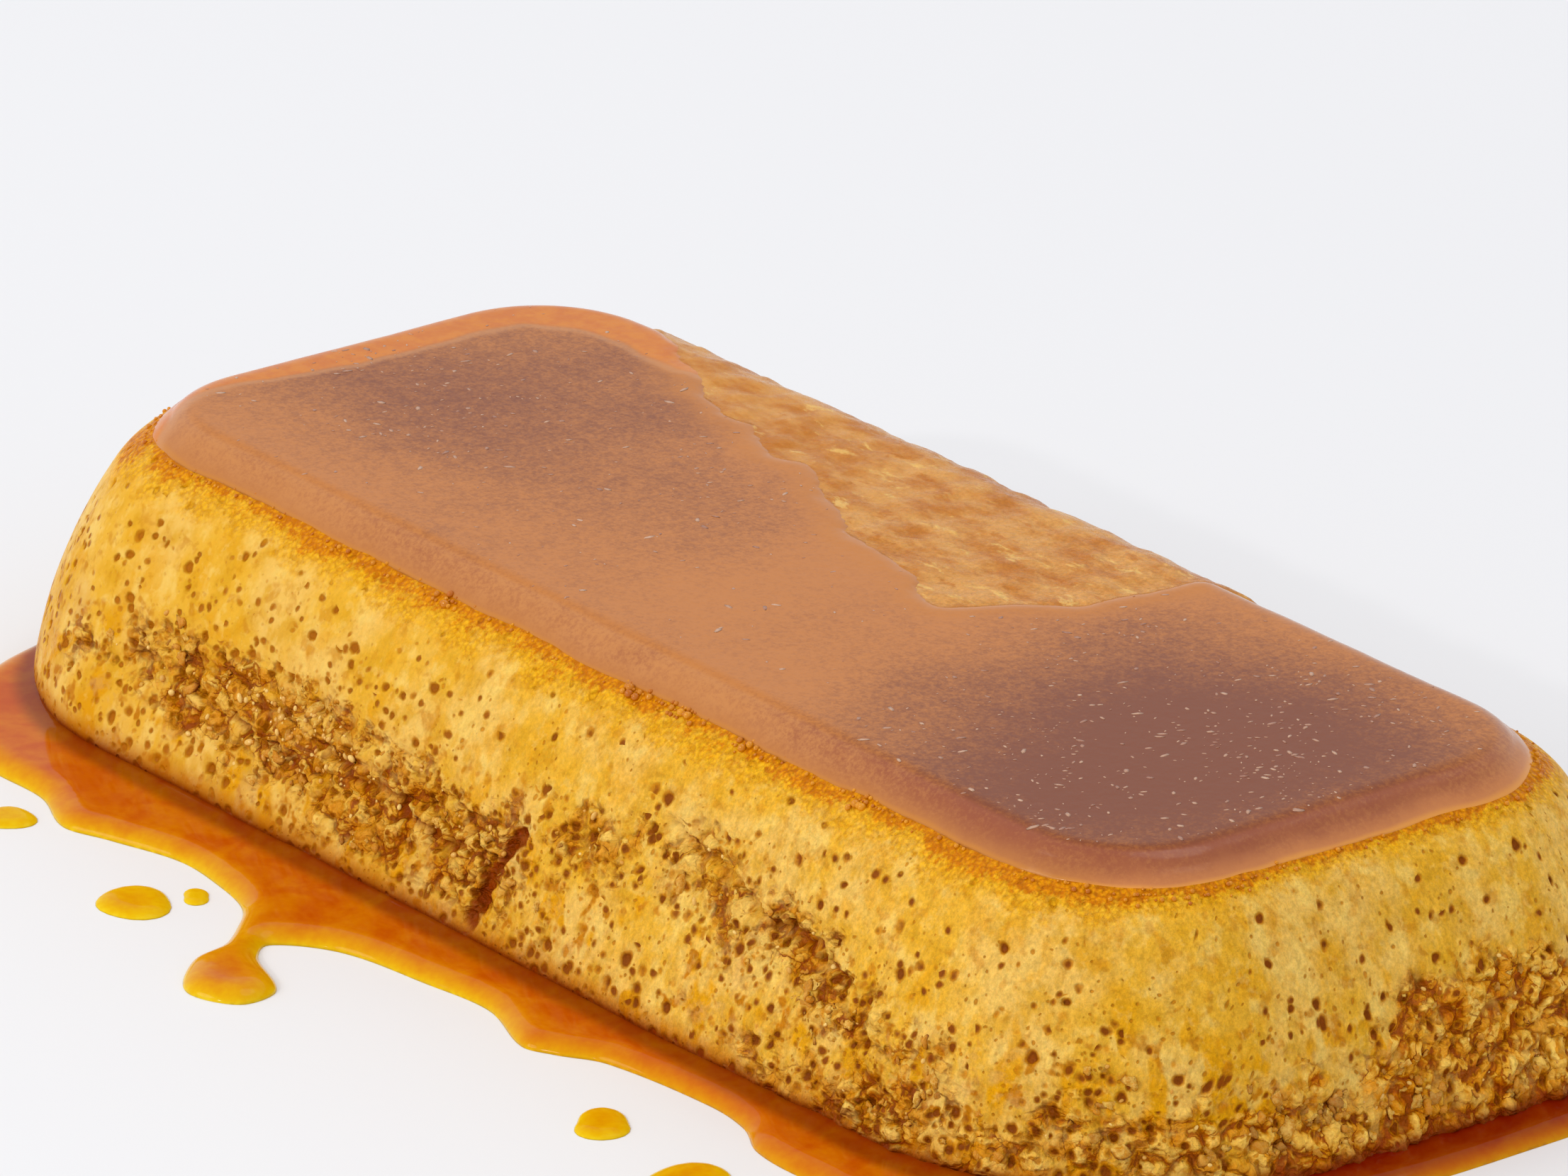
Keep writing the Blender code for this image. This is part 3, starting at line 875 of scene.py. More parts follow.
def make_crumbs(custard):
    """Crumbs that cling where the custard has broken up."""
    rng = np.random.default_rng(11)
    points, normals, crumb = surface_of(custard, "crumb")
    clumps = smoothstep(-0.2, 0.7, fractal(points, 3.5, 61, 2))
    low_end = bell(points[:, 0], 84, 22) * smoothstep(11, 7, points[:, 2])
    weight = (crumb**2 * (0.1 + clumps**2) + 0.3 * low_end * crumb * clumps) * (points[:, 2] > CRUMB_LOWEST)
    weight *= points[:, 2] < CUSTARD_HEIGHT - RIM_ROUNDING
    chosen = pick(rng, weight, CRUMB_COUNT)
    size = 0.2 + 0.36 * rng.random(CRUMB_COUNT) ** 2
    size *= 1 + 0.25 * low_end[chosen]
    sizes = size[:, None] * rng.uniform((0.9, 0.7, 0.6), (1.5, 1.1, 1.0), (CRUMB_COUNT, 3))
    axes = turned_axes(rng, normals[chosen])
    centres = points[chosen] - normals[chosen] * (0.25 * sizes[:, 2:])
    return scatter("loose_crumbs", centres, sizes, axes, 2, 0.95, 12)


def make_beads(custard):
    """Beads of syrup that glint in the broken custard, most of them left of the crack."""
    rng = np.random.default_rng(53)
    points, normals, crumb = surface_of(custard, "crumb")
    gathered = np.exp(-(((points[:, 0] + 30) / 7) ** 2) - ((points[:, 2] - 11) / 2.5) ** 2)
    weight = crumb**2 * (0.05 + gathered * (points[:, 1] < 0)) * (points[:, 2] > CRUMB_LOWEST)
    chosen = pick(rng, weight, BEAD_COUNT)
    size = 0.12 + 0.22 * rng.random(BEAD_COUNT) ** 2
    sizes = size[:, None] * rng.uniform((1.0, 0.8, 0.6), (1.6, 1.1, 0.9), (BEAD_COUNT, 3))
    axes = turned_axes(rng, normals[chosen])
    return scatter("syrup_beads", points[chosen], sizes, axes, 2, 0.1, 54)


def make_specks(film):
    """Pale flecks that float on the film, thickest over the deep pools."""
    rng = np.random.default_rng(23)
    points, normals, pool = surface_of(film, "pool")
    on_top = points[:, 2] > CUSTARD_HEIGHT + 0.9 * FILM_THICKNESS
    weight = (0.12 + np.clip(pool, 0, 1) ** 1.5) * on_top
    weight *= (0.3 + smoothstep(-0.3, 0.6, fractal(points, 12.0, 71, 2))) * area_around(film)
    chosen = pick(rng, weight, SPECK_COUNT)
    size = 0.09 + 0.26 * rng.random(SPECK_COUNT) ** 3
    sizes = np.column_stack([size * rng.uniform(1.0, 2.3, SPECK_COUNT), size * 0.8, 0 * size + 0.05])
    axes = turned_axes(rng, normals[chosen])
    return scatter("film_specks", points[chosen], sizes, axes, 1, 0.3, 24)


def make_bubbles(custard):
    """Small bubbles of caramel under the film's edge, in clusters along the near side."""
    rng = np.random.default_rng(37)
    points, normals, below = surface_of(custard, "below_film")
    band = bell(below, 0.4, 0.55)
    clusters = np.zeros(len(points))
    for x in BUBBLE_CLUSTERS:
        clusters += bell(points[:, 0], x, 1.6) * (points[:, 1] < -20)
    near = smoothstep(0.0, -20.0, points[:, 1]) + smoothstep(60.0, 75.0, points[:, 0])
    weight = band * (0.06 * near + 0.01 + clusters)
    chosen = pick(rng, weight, BUBBLE_COUNT)
    size = 0.12 + 0.3 * rng.random(BUBBLE_COUNT) ** 2 * (0.5 + np.clip(clusters[chosen], 0, 0.8))
    sizes = np.column_stack([size, size, size])
    axes = turned_axes(rng, normals[chosen])
    centres = points[chosen] + normals[chosen] * (0.2 * size)[:, None]
    return scatter("rim_bubbles", centres, sizes, axes, 2, 0.06, 38)


# ---------------------------------------------------------------- node graphs
class Graph:
    """Adds and links nodes, the same way in a material's tree and in a geometry tree."""

    def __init__(self, tree):
        self.tree = tree

    def node(self, kind, **settings):
        node = self.tree.nodes.new(kind)
        for key, value in settings.items():
            setattr(node, key, value)
        return node

    def feed(self, socket, value):
        """Links a socket to value, or sets it where value is a plain number or tuple."""
        if isinstance(value, bpy.types.NodeSocket):
            self.tree.links.new(value, socket)
        else:
            socket.default_value = value

    def math(self, operation, a, b=0.0):
        node = self.node("ShaderNodeMath", operation=operation)
        self.feed(node.inputs[0], a)
        self.feed(node.inputs[1], b)
        return node.outputs[0]

    def times(self, first, *others):
        for other in others:
            first = self.math("MULTIPLY", first, other)
        return first

    def plus(self, first, *others):
        for other in others:
            first = self.math("ADD", first, other)
        return first

    def minus(self, first, *others):
        for other in others:
            first = self.math("SUBTRACT", first, other)
        return first

    def vector(self, operation, a, b=(0.0, 0.0, 0.0)):
        node = self.node("ShaderNodeVectorMath", operation=operation)
        self.feed(node.inputs[0], a)
        self.feed(node.inputs[1], b)
        return node.outputs[0]

    def scaled(self, vector, factor):
        node = self.node("ShaderNodeVectorMath", operation="SCALE")
        self.feed(node.inputs[0], vector)
        self.feed(node.inputs["Scale"], factor)
        return node.outputs[0]

    def ramp(self, value, low, high, to_low=0.0, to_high=1.0):
        """A smooth ramp of value from low to high."""
        node = self.node("ShaderNodeMapRange", interpolation_type="SMOOTHSTEP")
        for socket, number in zip(node.inputs[:5], (value, low, high, to_low, to_high)):
            self.feed(socket, number)
        return node.outputs[0]

    def mix(self, factor, a, b):
        """Colour a to colour b."""
        node = self.node("ShaderNodeMix", data_type="RGBA")
        self.feed(node.inputs[0], factor)
        self.feed(node.inputs[6], a)
        self.feed(node.inputs[7], b)
        return node.outputs[2]

    def layers(self, colour, rows):
        """Colours laid over one another, each by a ramp: (value, low, high, most, colour)."""
        for value, low, high, most, laid in rows:
            colour = self.mix(self.ramp(value, low, high, 0.0, most), colour, laid)
        return colour

    def noise(self, vector, size_mm, detail=3.0, roughness=0.5, distortion=0.0, output=0):
        node = self.node("ShaderNodeTexNoise")
        self.feed(node.inputs["Vector"], vector)
        self.feed(node.inputs["Scale"], 1000.0 / size_mm)
        self.feed(node.inputs["Detail"], detail)
        self.feed(node.inputs["Roughness"], roughness)
        self.feed(node.inputs["Distortion"], distortion)
        return node.outputs[output]

    def voronoi(self, vector, size_mm, feature="F1"):
        node = self.node("ShaderNodeTexVoronoi", feature=feature)
        self.feed(node.inputs["Vector"], vector)
        self.feed(node.inputs["Scale"], 1000.0 / size_mm)
        return node

    def split(self, colour):
        """The three numbers of a colour or vector."""
        node = self.node("ShaderNodeSeparateXYZ")
        self.feed(node.inputs[0], colour)
        return node.outputs

    def combined(self, x, y, z):
        node = self.node("ShaderNodeCombineXYZ")
        for socket, value in zip(node.inputs, (x, y, z)):
            self.feed(socket, value)
        return node.outputs[0]

    def attribute(self, name, output="Fac"):
        """An attribute of the mesh, in a material."""
        return self.node("ShaderNodeAttribute", attribute_name=name).outputs[output]

    def bump(self, shader, height, strength, distance_mm):
        node = self.node("ShaderNodeBump")
        node.inputs["Strength"].default_value = strength
        node.inputs["Distance"].default_value = distance_mm * MM
        self.feed(node.inputs["Height"], height)
        self.feed(shader.inputs["Normal"], node.outputs[0])


def srgb(red, green, blue):
    """A colour given in 0-255 screen values, as the linear colour that nodes take."""
    def linear(value):
        share = value / 255.0
        return share / 12.92 if share <= 0.04045 else ((share + 0.055) / 1.055) ** 2.4
    return (linear(red), linear(green), linear(blue), 1.0)


def stretched(graph, place, ends):
    """Pores run a little taller than wide, and slant, at the loaf's ends."""
    x, y, z = graph.split(place)
    end = graph.ramp(ends, 0.8, 1.0)
    squeeze = graph.minus(1.0, graph.times(end, 0.3))
    slant = graph.times(graph.times(z, end), -0.15)
    return graph.combined(x, graph.plus(y, slant), graph.times(z, squeeze))


def warped(graph, place, size_mm, amount_mm, detail=1.0):
    """The place moved about by noise."""
    noise = graph.noise(place, size_mm, detail=detail, output="Color")
    shift = graph.vector("SUBTRACT", noise, (0.5, 0.5, 0.5))
    return graph.vector("ADD", place, graph.scaled(shift, amount_mm * MM))


def pore_layer(graph, place, density, cell_mm, small_mm, large_mm, growth):
    """Uneven pits, one at most in each cell: 1 in the middle of a pit, 0 outside."""
    cells = graph.voronoi(place, cell_mm)
    chance, size, _ = graph.split(cells.outputs["Color"])
    present = graph.math("LESS_THAN", chance, density)
    spread = graph.times(size, size, (large_mm - small_mm) / cell_mm)
    radius = graph.times(graph.plus(spread, small_mm / cell_mm), growth)
    share = graph.math("DIVIDE", cells.outputs["Distance"], radius)
    return graph.times(graph.ramp(share, 1.0, 0.35), present)


def pore_field(graph, place, height, crumb, ends):
    """All pores, and the large ones: sparse and small towards the rim, crowded lower down."""
    crowd = graph.noise(place, 7.0, detail=2.0)
    lower = graph.ramp(height, 23 * MM, 10 * MM, 0.2, 0.85)
    uneven = graph.ramp(crowd, 0.35, 0.65, 0.5, 1.35)
    density = graph.times(lower, uneven)
    density = graph.plus(density, graph.ramp(crumb, 0.0, 0.5, 0.0, 0.5))
    left = graph.ramp(graph.split(place)[0], -20 * MM, -50 * MM, 0.0, 0.5)
    density = graph.plus(density, graph.times(left, lower))
    density = graph.plus(density, graph.times(graph.ramp(ends, 0.5, 1.0), 0.12))
    place = warped(graph, stretched(graph, place, ends), 1.2, 0.7, detail=1.5)
    onward = graph.split(place)[0]
    growth = graph.ramp(onward, -15 * MM, 20 * MM, 0.9, 1.12)
    growth = graph.times(growth, graph.ramp(ends, 0.3, 0.8, 1.0, 0.74))
    fewer = graph.times(density, graph.ramp(onward, -15 * MM, 20 * MM, 1.0, 0.6))
    large = pore_layer(graph, place, density, 2.1, 0.55, 0.95, growth)
    middle = pore_layer(graph, place, fewer, 1.4, 0.42, 0.68, growth)
    small = pore_layer(graph, place, density, 0.8, 0.16, 0.32, 1.0)
    both = graph.math("MAXIMUM", large, graph.times(middle, 0.9))
    faint = graph.ramp(graph.split(place)[0], -60 * MM, 20 * MM, 0.2, 0.55)
    return graph.math("MAXIMUM", both, graph.times(small, faint)), large


def crumb_field(graph, place):
    """Relief of broken custard, about -1 to 1, the gaps between its grains, where painted shade goes, and a
    random tint.
    """
    place = warped(graph, place, 2.4, 2.2, detail=3.0)
    place = graph.vector("MULTIPLY", place, (0.7, 0.85, 1.0))
    coarse = graph.voronoi(place, 2.4, "DISTANCE_TO_EDGE").outputs["Distance"]
    fine = graph.voronoi(place, 1.2, "DISTANCE_TO_EDGE").outputs["Distance"]
    tint = graph.voronoi(place, 1.2).outputs["Color"]
    rubble = graph.noise(place, 2.2, detail=4.0, roughness=0.62)
    lump = graph.ramp(coarse, 0.0, 0.3, -0.45, 0.35)
    bead = graph.ramp(fine, 0.0, 0.25, -0.25, 0.2)
    rough = graph.ramp(rubble, 0.3, 0.7, -0.5, 0.5)
    relief = graph.plus(graph.plus(lump, bead), rough)
    wide = graph.math("DIVIDE", coarse, graph.ramp(rubble, 0.6, 0.36, 0.004, 0.2))
    thin = graph.math("DIVIDE", fine, graph.ramp(rubble, 0.52, 0.36, 0.004, 0.22))
    gaps = graph.math("MAXIMUM", graph.ramp(wide, 1.0, 0.1), graph.ramp(thin, 1.0, 0.1, 0.0, 0.8))
    return relief, gaps, tint


def stroke_field(graph, place):
    """Short fine upright strokes all over the skin, 0 to 1."""
    tall = graph.vector("MULTIPLY", place, (1.0, 1.0, 0.45))
    return graph.noise(tall, 0.55, detail=3.0, roughness=0.7)


def crease_field(graph, place):
    """Thin wavy creases that run mostly along the loaf: 1 in the crease."""
    long = graph.vector("MULTIPLY", place, (0.45, 0.6, 1.0))
    wave = graph.noise(long, 3.2, detail=3.0, roughness=0.55)
    ridge = graph.math("ABSOLUTE", graph.minus(wave, 0.5))
    here = graph.noise(place, 6.0, detail=1.0)
    return graph.times(graph.ramp(ridge, 0.035, 0.004), graph.ramp(here, 0.5, 0.6))


# ---------------------------------------------------------------- relief as geometry
CRUMB_RELIEF = 0.62
PORE_DEPTH = 0.3
CREASE_DEPTH = 0.3
BARE_RELIEF = 0.16


def relief_tree():
    """Geometry nodes that move the custard's skin by its crumb and its pores."""
    tree = bpy.data.node_groups.new("custard relief", "GeometryNodeTree")
    tree.interface.new_socket("Geometry", in_out="INPUT", socket_type="NodeSocketGeometry")
    tree.interface.new_socket("Geometry", in_out="OUTPUT", socket_type="NodeSocketGeometry")
    graph = Graph(tree)

    def attribute(name, kind):
        node = graph.node("GeometryNodeInputNamedAttribute", data_type=kind)
        node.inputs["Name"].default_value = name
        return node.outputs["Attribute"]

    place = attribute("rest", "FLOAT_VECTOR")
    crumb = attribute("crumb", "FLOAT")
    bare = attribute("bare", "FLOAT")
    uncovered = attribute("uncovered", "FLOAT")
    height = graph.split(place)[2]
    relief, _, _ = crumb_field(graph, place)
    out_x = graph.split(attribute("facing", "FLOAT_VECTOR"))[0]
    _, pores = pore_field(graph, place, height, crumb, graph.times(out_x, out_x))
    creases = crease_field(graph, place)
    soft = graph.noise(place, 4.0, detail=2.0)
    standing = graph.ramp(height, 1.0 * MM, 4.0 * MM)
    side = graph.minus(1.0, bare)
    out = graph.times(relief, crumb, CRUMB_RELIEF * MM)
    out = graph.minus(out, graph.times(pores, standing, side, PORE_DEPTH * MM))
    out = graph.minus(out, graph.times(creases, crumb, standing, CREASE_DEPTH * MM))
    swell = graph.ramp(soft, 0.3, 0.7, -BARE_RELIEF * MM, BARE_RELIEF * MM)
    out = graph.plus(out, graph.times(swell, bare))
    out = graph.times(out, uncovered)
    normal = graph.node("GeometryNodeInputNormal").outputs[0]
    move = graph.node("GeometryNodeSetPosition")
    tree.links.new(graph.node("NodeGroupInput").outputs[0], move.inputs["Geometry"])
    graph.feed(move.inputs["Offset"], graph.scaled(normal, out))
    tree.links.new(move.outputs[0], graph.node("NodeGroupOutput").inputs[0])
    return tree


def apply_relief(obj):
    modifier = obj.modifiers.new("relief", "NODES")
    modifier.node_group = relief_tree()
    graph = bpy.context.evaluated_depsgraph_get()
    mesh = bpy.data.meshes.new_from_object(obj.evaluated_get(graph))
    obj.modifiers.clear()
    obj.data = mesh
    mesh.shade_smooth()


# ---------------------------------------------------------------- materials
def new_material(name):
    material = bpy.data.materials.new(name)
    material.use_nodes = True
    graph = Graph(material.node_tree)
    return material, graph, material.node_tree.nodes["Principled BSDF"]


def let_light_in(shader, weight, reach_mm):
    """Light scatters inside the custard, red farthest."""
    shader.inputs["Subsurface Weight"].default_value = weight
    shader.inputs["Subsurface Radius"].default_value = (1.0, 0.45, 0.12)
    shader.inputs["Subsurface Scale"].default_value = reach_mm * MM


def custard_body(graph, place, height):
    """The plain skin: creamy yellow with softly edged wet and amber patches."""
    tall = graph.vector("MULTIPLY", place, (1.0, 1.0, 0.6))
    clouds = graph.noise(tall, 8.0, detail=3.0, roughness=0.5)
    patches = graph.noise(tall, 3.0, detail=3.0, roughness=0.55)
    wet = graph.noise(warped(graph, tall, 3.0, 2.0), 3.4, detail=2.0, roughness=0.5)
    spots = graph.noise(warped(graph, place, 1.8, 1.2), 2.0, detail=2.0, roughness=0.5)
    mottle = graph.noise(warped(graph, place, 1.2, 0.8), 1.3, detail=3.0, roughness=0.6)
    low_down = graph.ramp(height, 21 * MM, 9 * MM, 0.4, 1.0)
    colour = graph.layers(srgb(224, 168, 46), (
        (clouds, 0.4, 0.6, 1.0, srgb(228, 180, 84)),
        (patches, 0.5, 0.66, 0.7, srgb(210, 152, 20)),
        (patches, 0.48, 0.34, 0.7, srgb(234, 194, 98)),
    ))
    colour = graph.mix(graph.times(graph.ramp(wet, 0.55, 0.64), low_down), colour, srgb(218, 152, 4))
    colour = graph.mix(graph.times(graph.ramp(spots, 0.57, 0.68), low_down), colour, srgb(190, 118, 4))
    return graph.layers(colour, (
        (mottle, 0.55, 0.7, 0.4, srgb(194, 128, 6)),
        (mottle, 0.46, 0.32, 0.25, srgb(238, 202, 112)),
    ))


def crumb_colour(graph, relief, gaps, tint):
    """Grains with a painted highlight on their raised tips and painted shade in their low places and the
    gaps between them, here and there wet and orange.
    """
    tips, wet, _ = graph.split(tint)
    return graph.layers(srgb(216, 142, 14), (
        (relief, -0.5, 0.5, 1.0, srgb(242, 194, 92)),
        (tips, 0.2, 0.8, 0.5, srgb(226, 164, 48)),
        (wet, 0.52, 0.64, 0.85, srgb(210, 130, 0)),
        (relief, -0.2, -0.65, 0.75, srgb(186, 96, 0)),
        (gaps, 0.0, 0.6, 0.75, srgb(188, 96, 0)),
        (gaps, 0.55, 1.0, 0.88, srgb(132, 44, 0)),
    ))


def rim_colour(graph, place, reach, colour):
    """The band soaked with caramel under the film's edge, granular and fading downwards."""
    granules = graph.voronoi(warped(graph, place, 0.9, 0.9, detail=2.0), 0.55).outputs["Distance"]
    grain = graph.ramp(granules, 0.15, 0.75)
    light = graph.mix(grain, srgb(238, 176, 22), srgb(214, 146, 2))
    colour = graph.mix(graph.ramp(reach, 5.2, 1.9, 0.0, 0.88), colour, light)
    dark = graph.mix(grain, srgb(224, 142, 2), srgb(192, 106, 0))
    return graph.mix(graph.ramp(reach, 2.0, 0.8, 0.0, 0.95), colour, dark), granules


def bare_colour(graph, place):
    """The thinly glazed skin of the bare patch, tan with a few yellow and dark places."""
    place = graph.vector("MULTIPLY", place, (0.5, 1.0, 1.0))
    drift = graph.noise(place, 4.0, detail=4.0, roughness=0.65)
    spots = graph.noise(warped(graph, place, 2.0, 1.5), 2.2, detail=4.0, roughness=0.65)
    return graph.layers(srgb(186, 114, 42), (
        (drift, 0.36, 0.64, 1.0, srgb(210, 150, 80)),
        (spots, 0.58, 0.68, 0.8, srgb(226, 180, 100)),
        (spots, 0.42, 0.32, 0.6, srgb(178, 100, 20)),
    ))


def film_reach(graph, place, below, ends):
    """The distance below the film's edge, made ragged, and shortened at the loaf's ends."""
    speckle = graph.noise(place, 0.7, detail=3.0, roughness=0.7)
    ragged = graph.noise(place, 4.0, detail=3.0)
    narrow = graph.ramp(ends, 0.3, 1.0, 1.0, 2.0)
    reach = graph.times(below, narrow)
    reach = graph.plus(reach, graph.ramp(ragged, 0.3, 0.7, 1.0, -1.0))
    return graph.plus(reach, graph.ramp(speckle, 0.3, 0.7, 0.8, -0.8))


def skin_fields(graph):
    """What the custard's colour, gloss and bumps are all worked out from."""
    skin = SimpleNamespace()
    skin.place = graph.attribute("rest", "Vector")
    skin.along, _, skin.height = graph.split(skin.place)
    skin.out_x = graph.split(graph.attribute("facing", "Vector"))[0]
    skin.bare = graph.attribute("bare")
    skin.zone = graph.attribute("crumb")
    ends = graph.times(skin.out_x, skin.out_x)
    skin.relief, skin.gaps, skin.tint = crumb_field(graph, skin.place)
    skin.pores, _ = pore_field(graph, skin.place, skin.height, skin.zone, ends)
    skin.creases = graph.times(crease_field(graph, skin.place), graph.ramp(skin.zone, 0.1, 0.5))
    patchy = graph.noise(skin.place, 3.0, detail=3.0, roughness=0.6)
    crumb = graph.plus(skin.zone, graph.ramp(patchy, 0.3, 0.7, -0.45, 0.45))
    skin.crumb = graph.times(graph.ramp(crumb, 0.25, 1.05), graph.ramp(skin.zone, 0.0, 0.15))
    skin.reach = film_reach(graph, skin.place, graph.attribute("below_film"), ends)
    skin.strokes = stroke_field(graph, skin.place)
    skin.crisp = graph.ramp(skin.along, -65 * MM, 40 * MM, 0.1, 1.0)
    skin.fine = graph.noise(skin.place, 0.5, detail=3.0, roughness=0.6)
    return skin


def side_colour(graph, skin):
    """The custard's sides: the plain skin, then what is broken, pitted, creased and split, with painted
    shade in the creases and splits.
    """
    colour = custard_body(graph, skin.place, skin.height)
    grey = graph.noise(warped(graph, skin.place, 2.0, 2.0), 4.2, detail=4.0, roughness=0.65)
    scuff = graph.times(
        graph.ramp(grey, 0.54, 0.64), graph.ramp(skin.height, 17 * MM, 11 * MM, 0.0, 0.4)
    )
    grains = crumb_colour(graph, skin.relief, skin.gaps, skin.tint)
    core = graph.mix(
        graph.ramp(skin.along, -60 * MM, 40 * MM), srgb(172, 98, 4), srgb(128, 58, 2)
    )
    lip = graph.times(graph.ramp(skin.height, 4.4 * MM, 2.6 * MM), 0.75)
    colour = graph.mix(lip, colour, srgb(186, 108, 2))
    colour = graph.mix(scuff, colour, srgb(206, 154, 84))
    colour = graph.mix(graph.times(skin.crumb, 0.92), colour, grains)
    colour = graph.layers(colour, (
        (skin.pores, 0.0, 0.45, 0.8, srgb(198, 124, 8)),
        (skin.pores, 0.4, 0.95, 0.95, core),
    ))
    # Painted shade in the creases.
    colour = graph.mix(graph.times(skin.creases, 0.7), colour, srgb(134, 62, 0))
    # Painted shade in the splits.
    return graph.layers(colour, ((graph.attribute("split"), 0.1, 0.7, 0.92, srgb(136, 50, 0)),))


def custard_colour(graph, skin):
    """The sides, the band under the film, the bare patch, the dark foot (partly soaked, partly painted
    shade) and painted light on the crumb at the ends; and the granules.
    """
    gap = graph.node("ShaderNodeVectorMath", operation="DISTANCE")
    graph.feed(gap.inputs[0], skin.place)
    graph.feed(gap.inputs[1], tuple(v * MM for v in GOLDEN_PLACE))
    golden = graph.ramp(gap.outputs["Value"], 9 * MM, 3 * MM, 0.0, 2.2)
    colour, granules = rim_colour(
        graph, skin.place, graph.minus(skin.reach, golden), side_colour(graph, skin)
    )
    colour = graph.mix(skin.bare, colour, bare_colour(graph, skin.place))
    # The dark band at the foot: partly caramel soaked into the custard, partly painted shade where the loaf
    # meets the sauce, a little taller at the ends.
    soaked = graph.minus(skin.height, graph.ramp(skin.out_x, 0.5, 1.0, 0.0, 0.3 * MM))
    colour = graph.layers(colour, ((soaked, 3.1 * MM, 1.6 * MM, 0.92, srgb(132, 44, 0)),))
    dust = graph.noise(skin.place, 0.38, detail=2.0, roughness=0.8)
    speckle = graph.plus(
        graph.ramp(dust, 0.3, 0.7, -0.12, 0.1), graph.ramp(skin.strokes, 0.3, 0.7, -0.12, 0.1)
    )
    # Painted light: the crumb on the loaf's ends is lightened.
    painted_end_light = graph.times(graph.ramp(skin.out_x, 0.7, 1.0, 0.0, 0.24), skin.crumb)
    shade = graph.plus(1.0, graph.times(speckle, skin.crisp), painted_end_light)
    return graph.vector("MULTIPLY", colour, graph.combined(shade, shade, shade)), granules


def custard_bumps(graph, skin, granules):
    """The height of what is too fine to be real relief."""
    bumps = graph.minus(
        graph.times(skin.relief, skin.crumb, 0.6),
        graph.times(skin.pores, 0.35),
        graph.times(skin.creases, 0.2),
        graph.times(granules, graph.ramp(skin.reach, 4.0, 1.5), 0.3),
        graph.times(skin.gaps, skin.crumb, 0.2),
    )
    bumps = graph.plus(bumps, graph.times(skin.strokes, skin.crisp, 0.18))
    grit = graph.times(skin.fine, graph.ramp(skin.crisp, 0.0, 1.0, 0.04, 0.13))
    return graph.plus(graph.times(bumps, graph.minus(1.0, skin.bare)), grit)


def custard_material():
    material, graph, shader = new_material("baked custard")
    skin = skin_fields(graph)
    colour, granules = custard_colour(graph, skin)
    graph.feed(shader.inputs["Base Color"], colour)
    shine = graph.minus(
        graph.ramp(skin.fine, 0.3, 0.7, 0.28, 0.5),
        graph.times(skin.zone, 0.12),
        graph.times(skin.bare, 0.15),
    )
    graph.feed(shader.inputs["Roughness"], shine)
    graph.bump(shader, custard_bumps(graph, skin, granules), 0.8, 1.0)
    shader.inputs["IOR"].default_value = 1.4
    shader.inputs["Specular IOR Level"].default_value = 0.07
    let_light_in(shader, 0.12, 1.5)
    return material


def film_colour(graph, place):
    """Amber, darker over the pools, paler at the edges and gold along the far rim, with painted reflection
    where it curves over the rim and a painted highlight along its thinnest edge, lighter where it faces the
    +x end.
    """
    pool = graph.attribute("pool")
    glow = graph.attribute("glow")
    bare = graph.attribute("from_bare")
    drift = graph.noise(place, 16.0, detail=3.0)
    streak = graph.noise(place, 2.2, detail=4.0, roughness=0.65)
    grit = graph.noise(place, 0.45, detail=3.0, roughness=0.7)
    depth = graph.plus(
        pool,
        graph.ramp(drift, 0.3, 0.7, -0.06, 0.1),
        graph.ramp(streak, 0.3, 0.7, -0.09, 0.09),
        graph.ramp(grit, 0.3, 0.7, -0.2, 0.2),
    )
    colour = graph.mix(graph.ramp(depth, -0.2, 1.0), srgb(192, 116, 42), srgb(121, 55, 12))
    out_x, _, tilt = graph.split(graph.node("ShaderNodeNewGeometry").outputs["Normal"])
    # Painted reflection where the film curves over the rim: the colour turns more mauve as the surface
    # tilts.
    edge = graph.mix(graph.ramp(depth, -0.3, 0.8), srgb(194, 128, 72), srgb(146, 78, 52))
    colour = graph.mix(graph.ramp(tilt, 0.998, 0.9), colour, edge)
    thin = graph.plus(glow, graph.ramp(streak, 0.3, 0.7, -0.06, 0.06))
    # Painted light: the thin edge's colour is lighter where the film faces the +x end.
    painted_light_end_facing = graph.ramp(out_x, 0.25, 0.6)
    halo = graph.mix(painted_light_end_facing, srgb(184, 116, 58), srgb(206, 132, 76))
    colour = graph.mix(graph.ramp(thin, 0.0, 1.0, 0.0, 0.92), colour, halo)
    # Painted highlight: a pale line along the film's thinnest edge.
    brink = graph.mix(painted_light_end_facing, srgb(194, 124, 50), srgb(226, 152, 68))
    colour = graph.mix(graph.ramp(glow, 0.72, 0.92, 0.0, 0.9), colour, brink)
    colour = graph.mix(graph.ramp(bare, 6.0, 0.3, 0.0, 0.85), colour, srgb(194, 117, 30))
    band = graph.attribute("band")
    pale = graph.times(graph.ramp(band, 0.0, 0.3), graph.ramp(band, 0.7, 0.4))
    gold = graph.mix(graph.ramp(streak, 0.35, 0.65), srgb(204, 108, 0), srgb(214, 124, 6))
    colour = graph.mix(graph.ramp(band, 0.3, 0.8, 0.0, 0.92), colour, gold)
    return graph.mix(graph.times(pale, 0.5), colour, srgb(202, 138, 84))


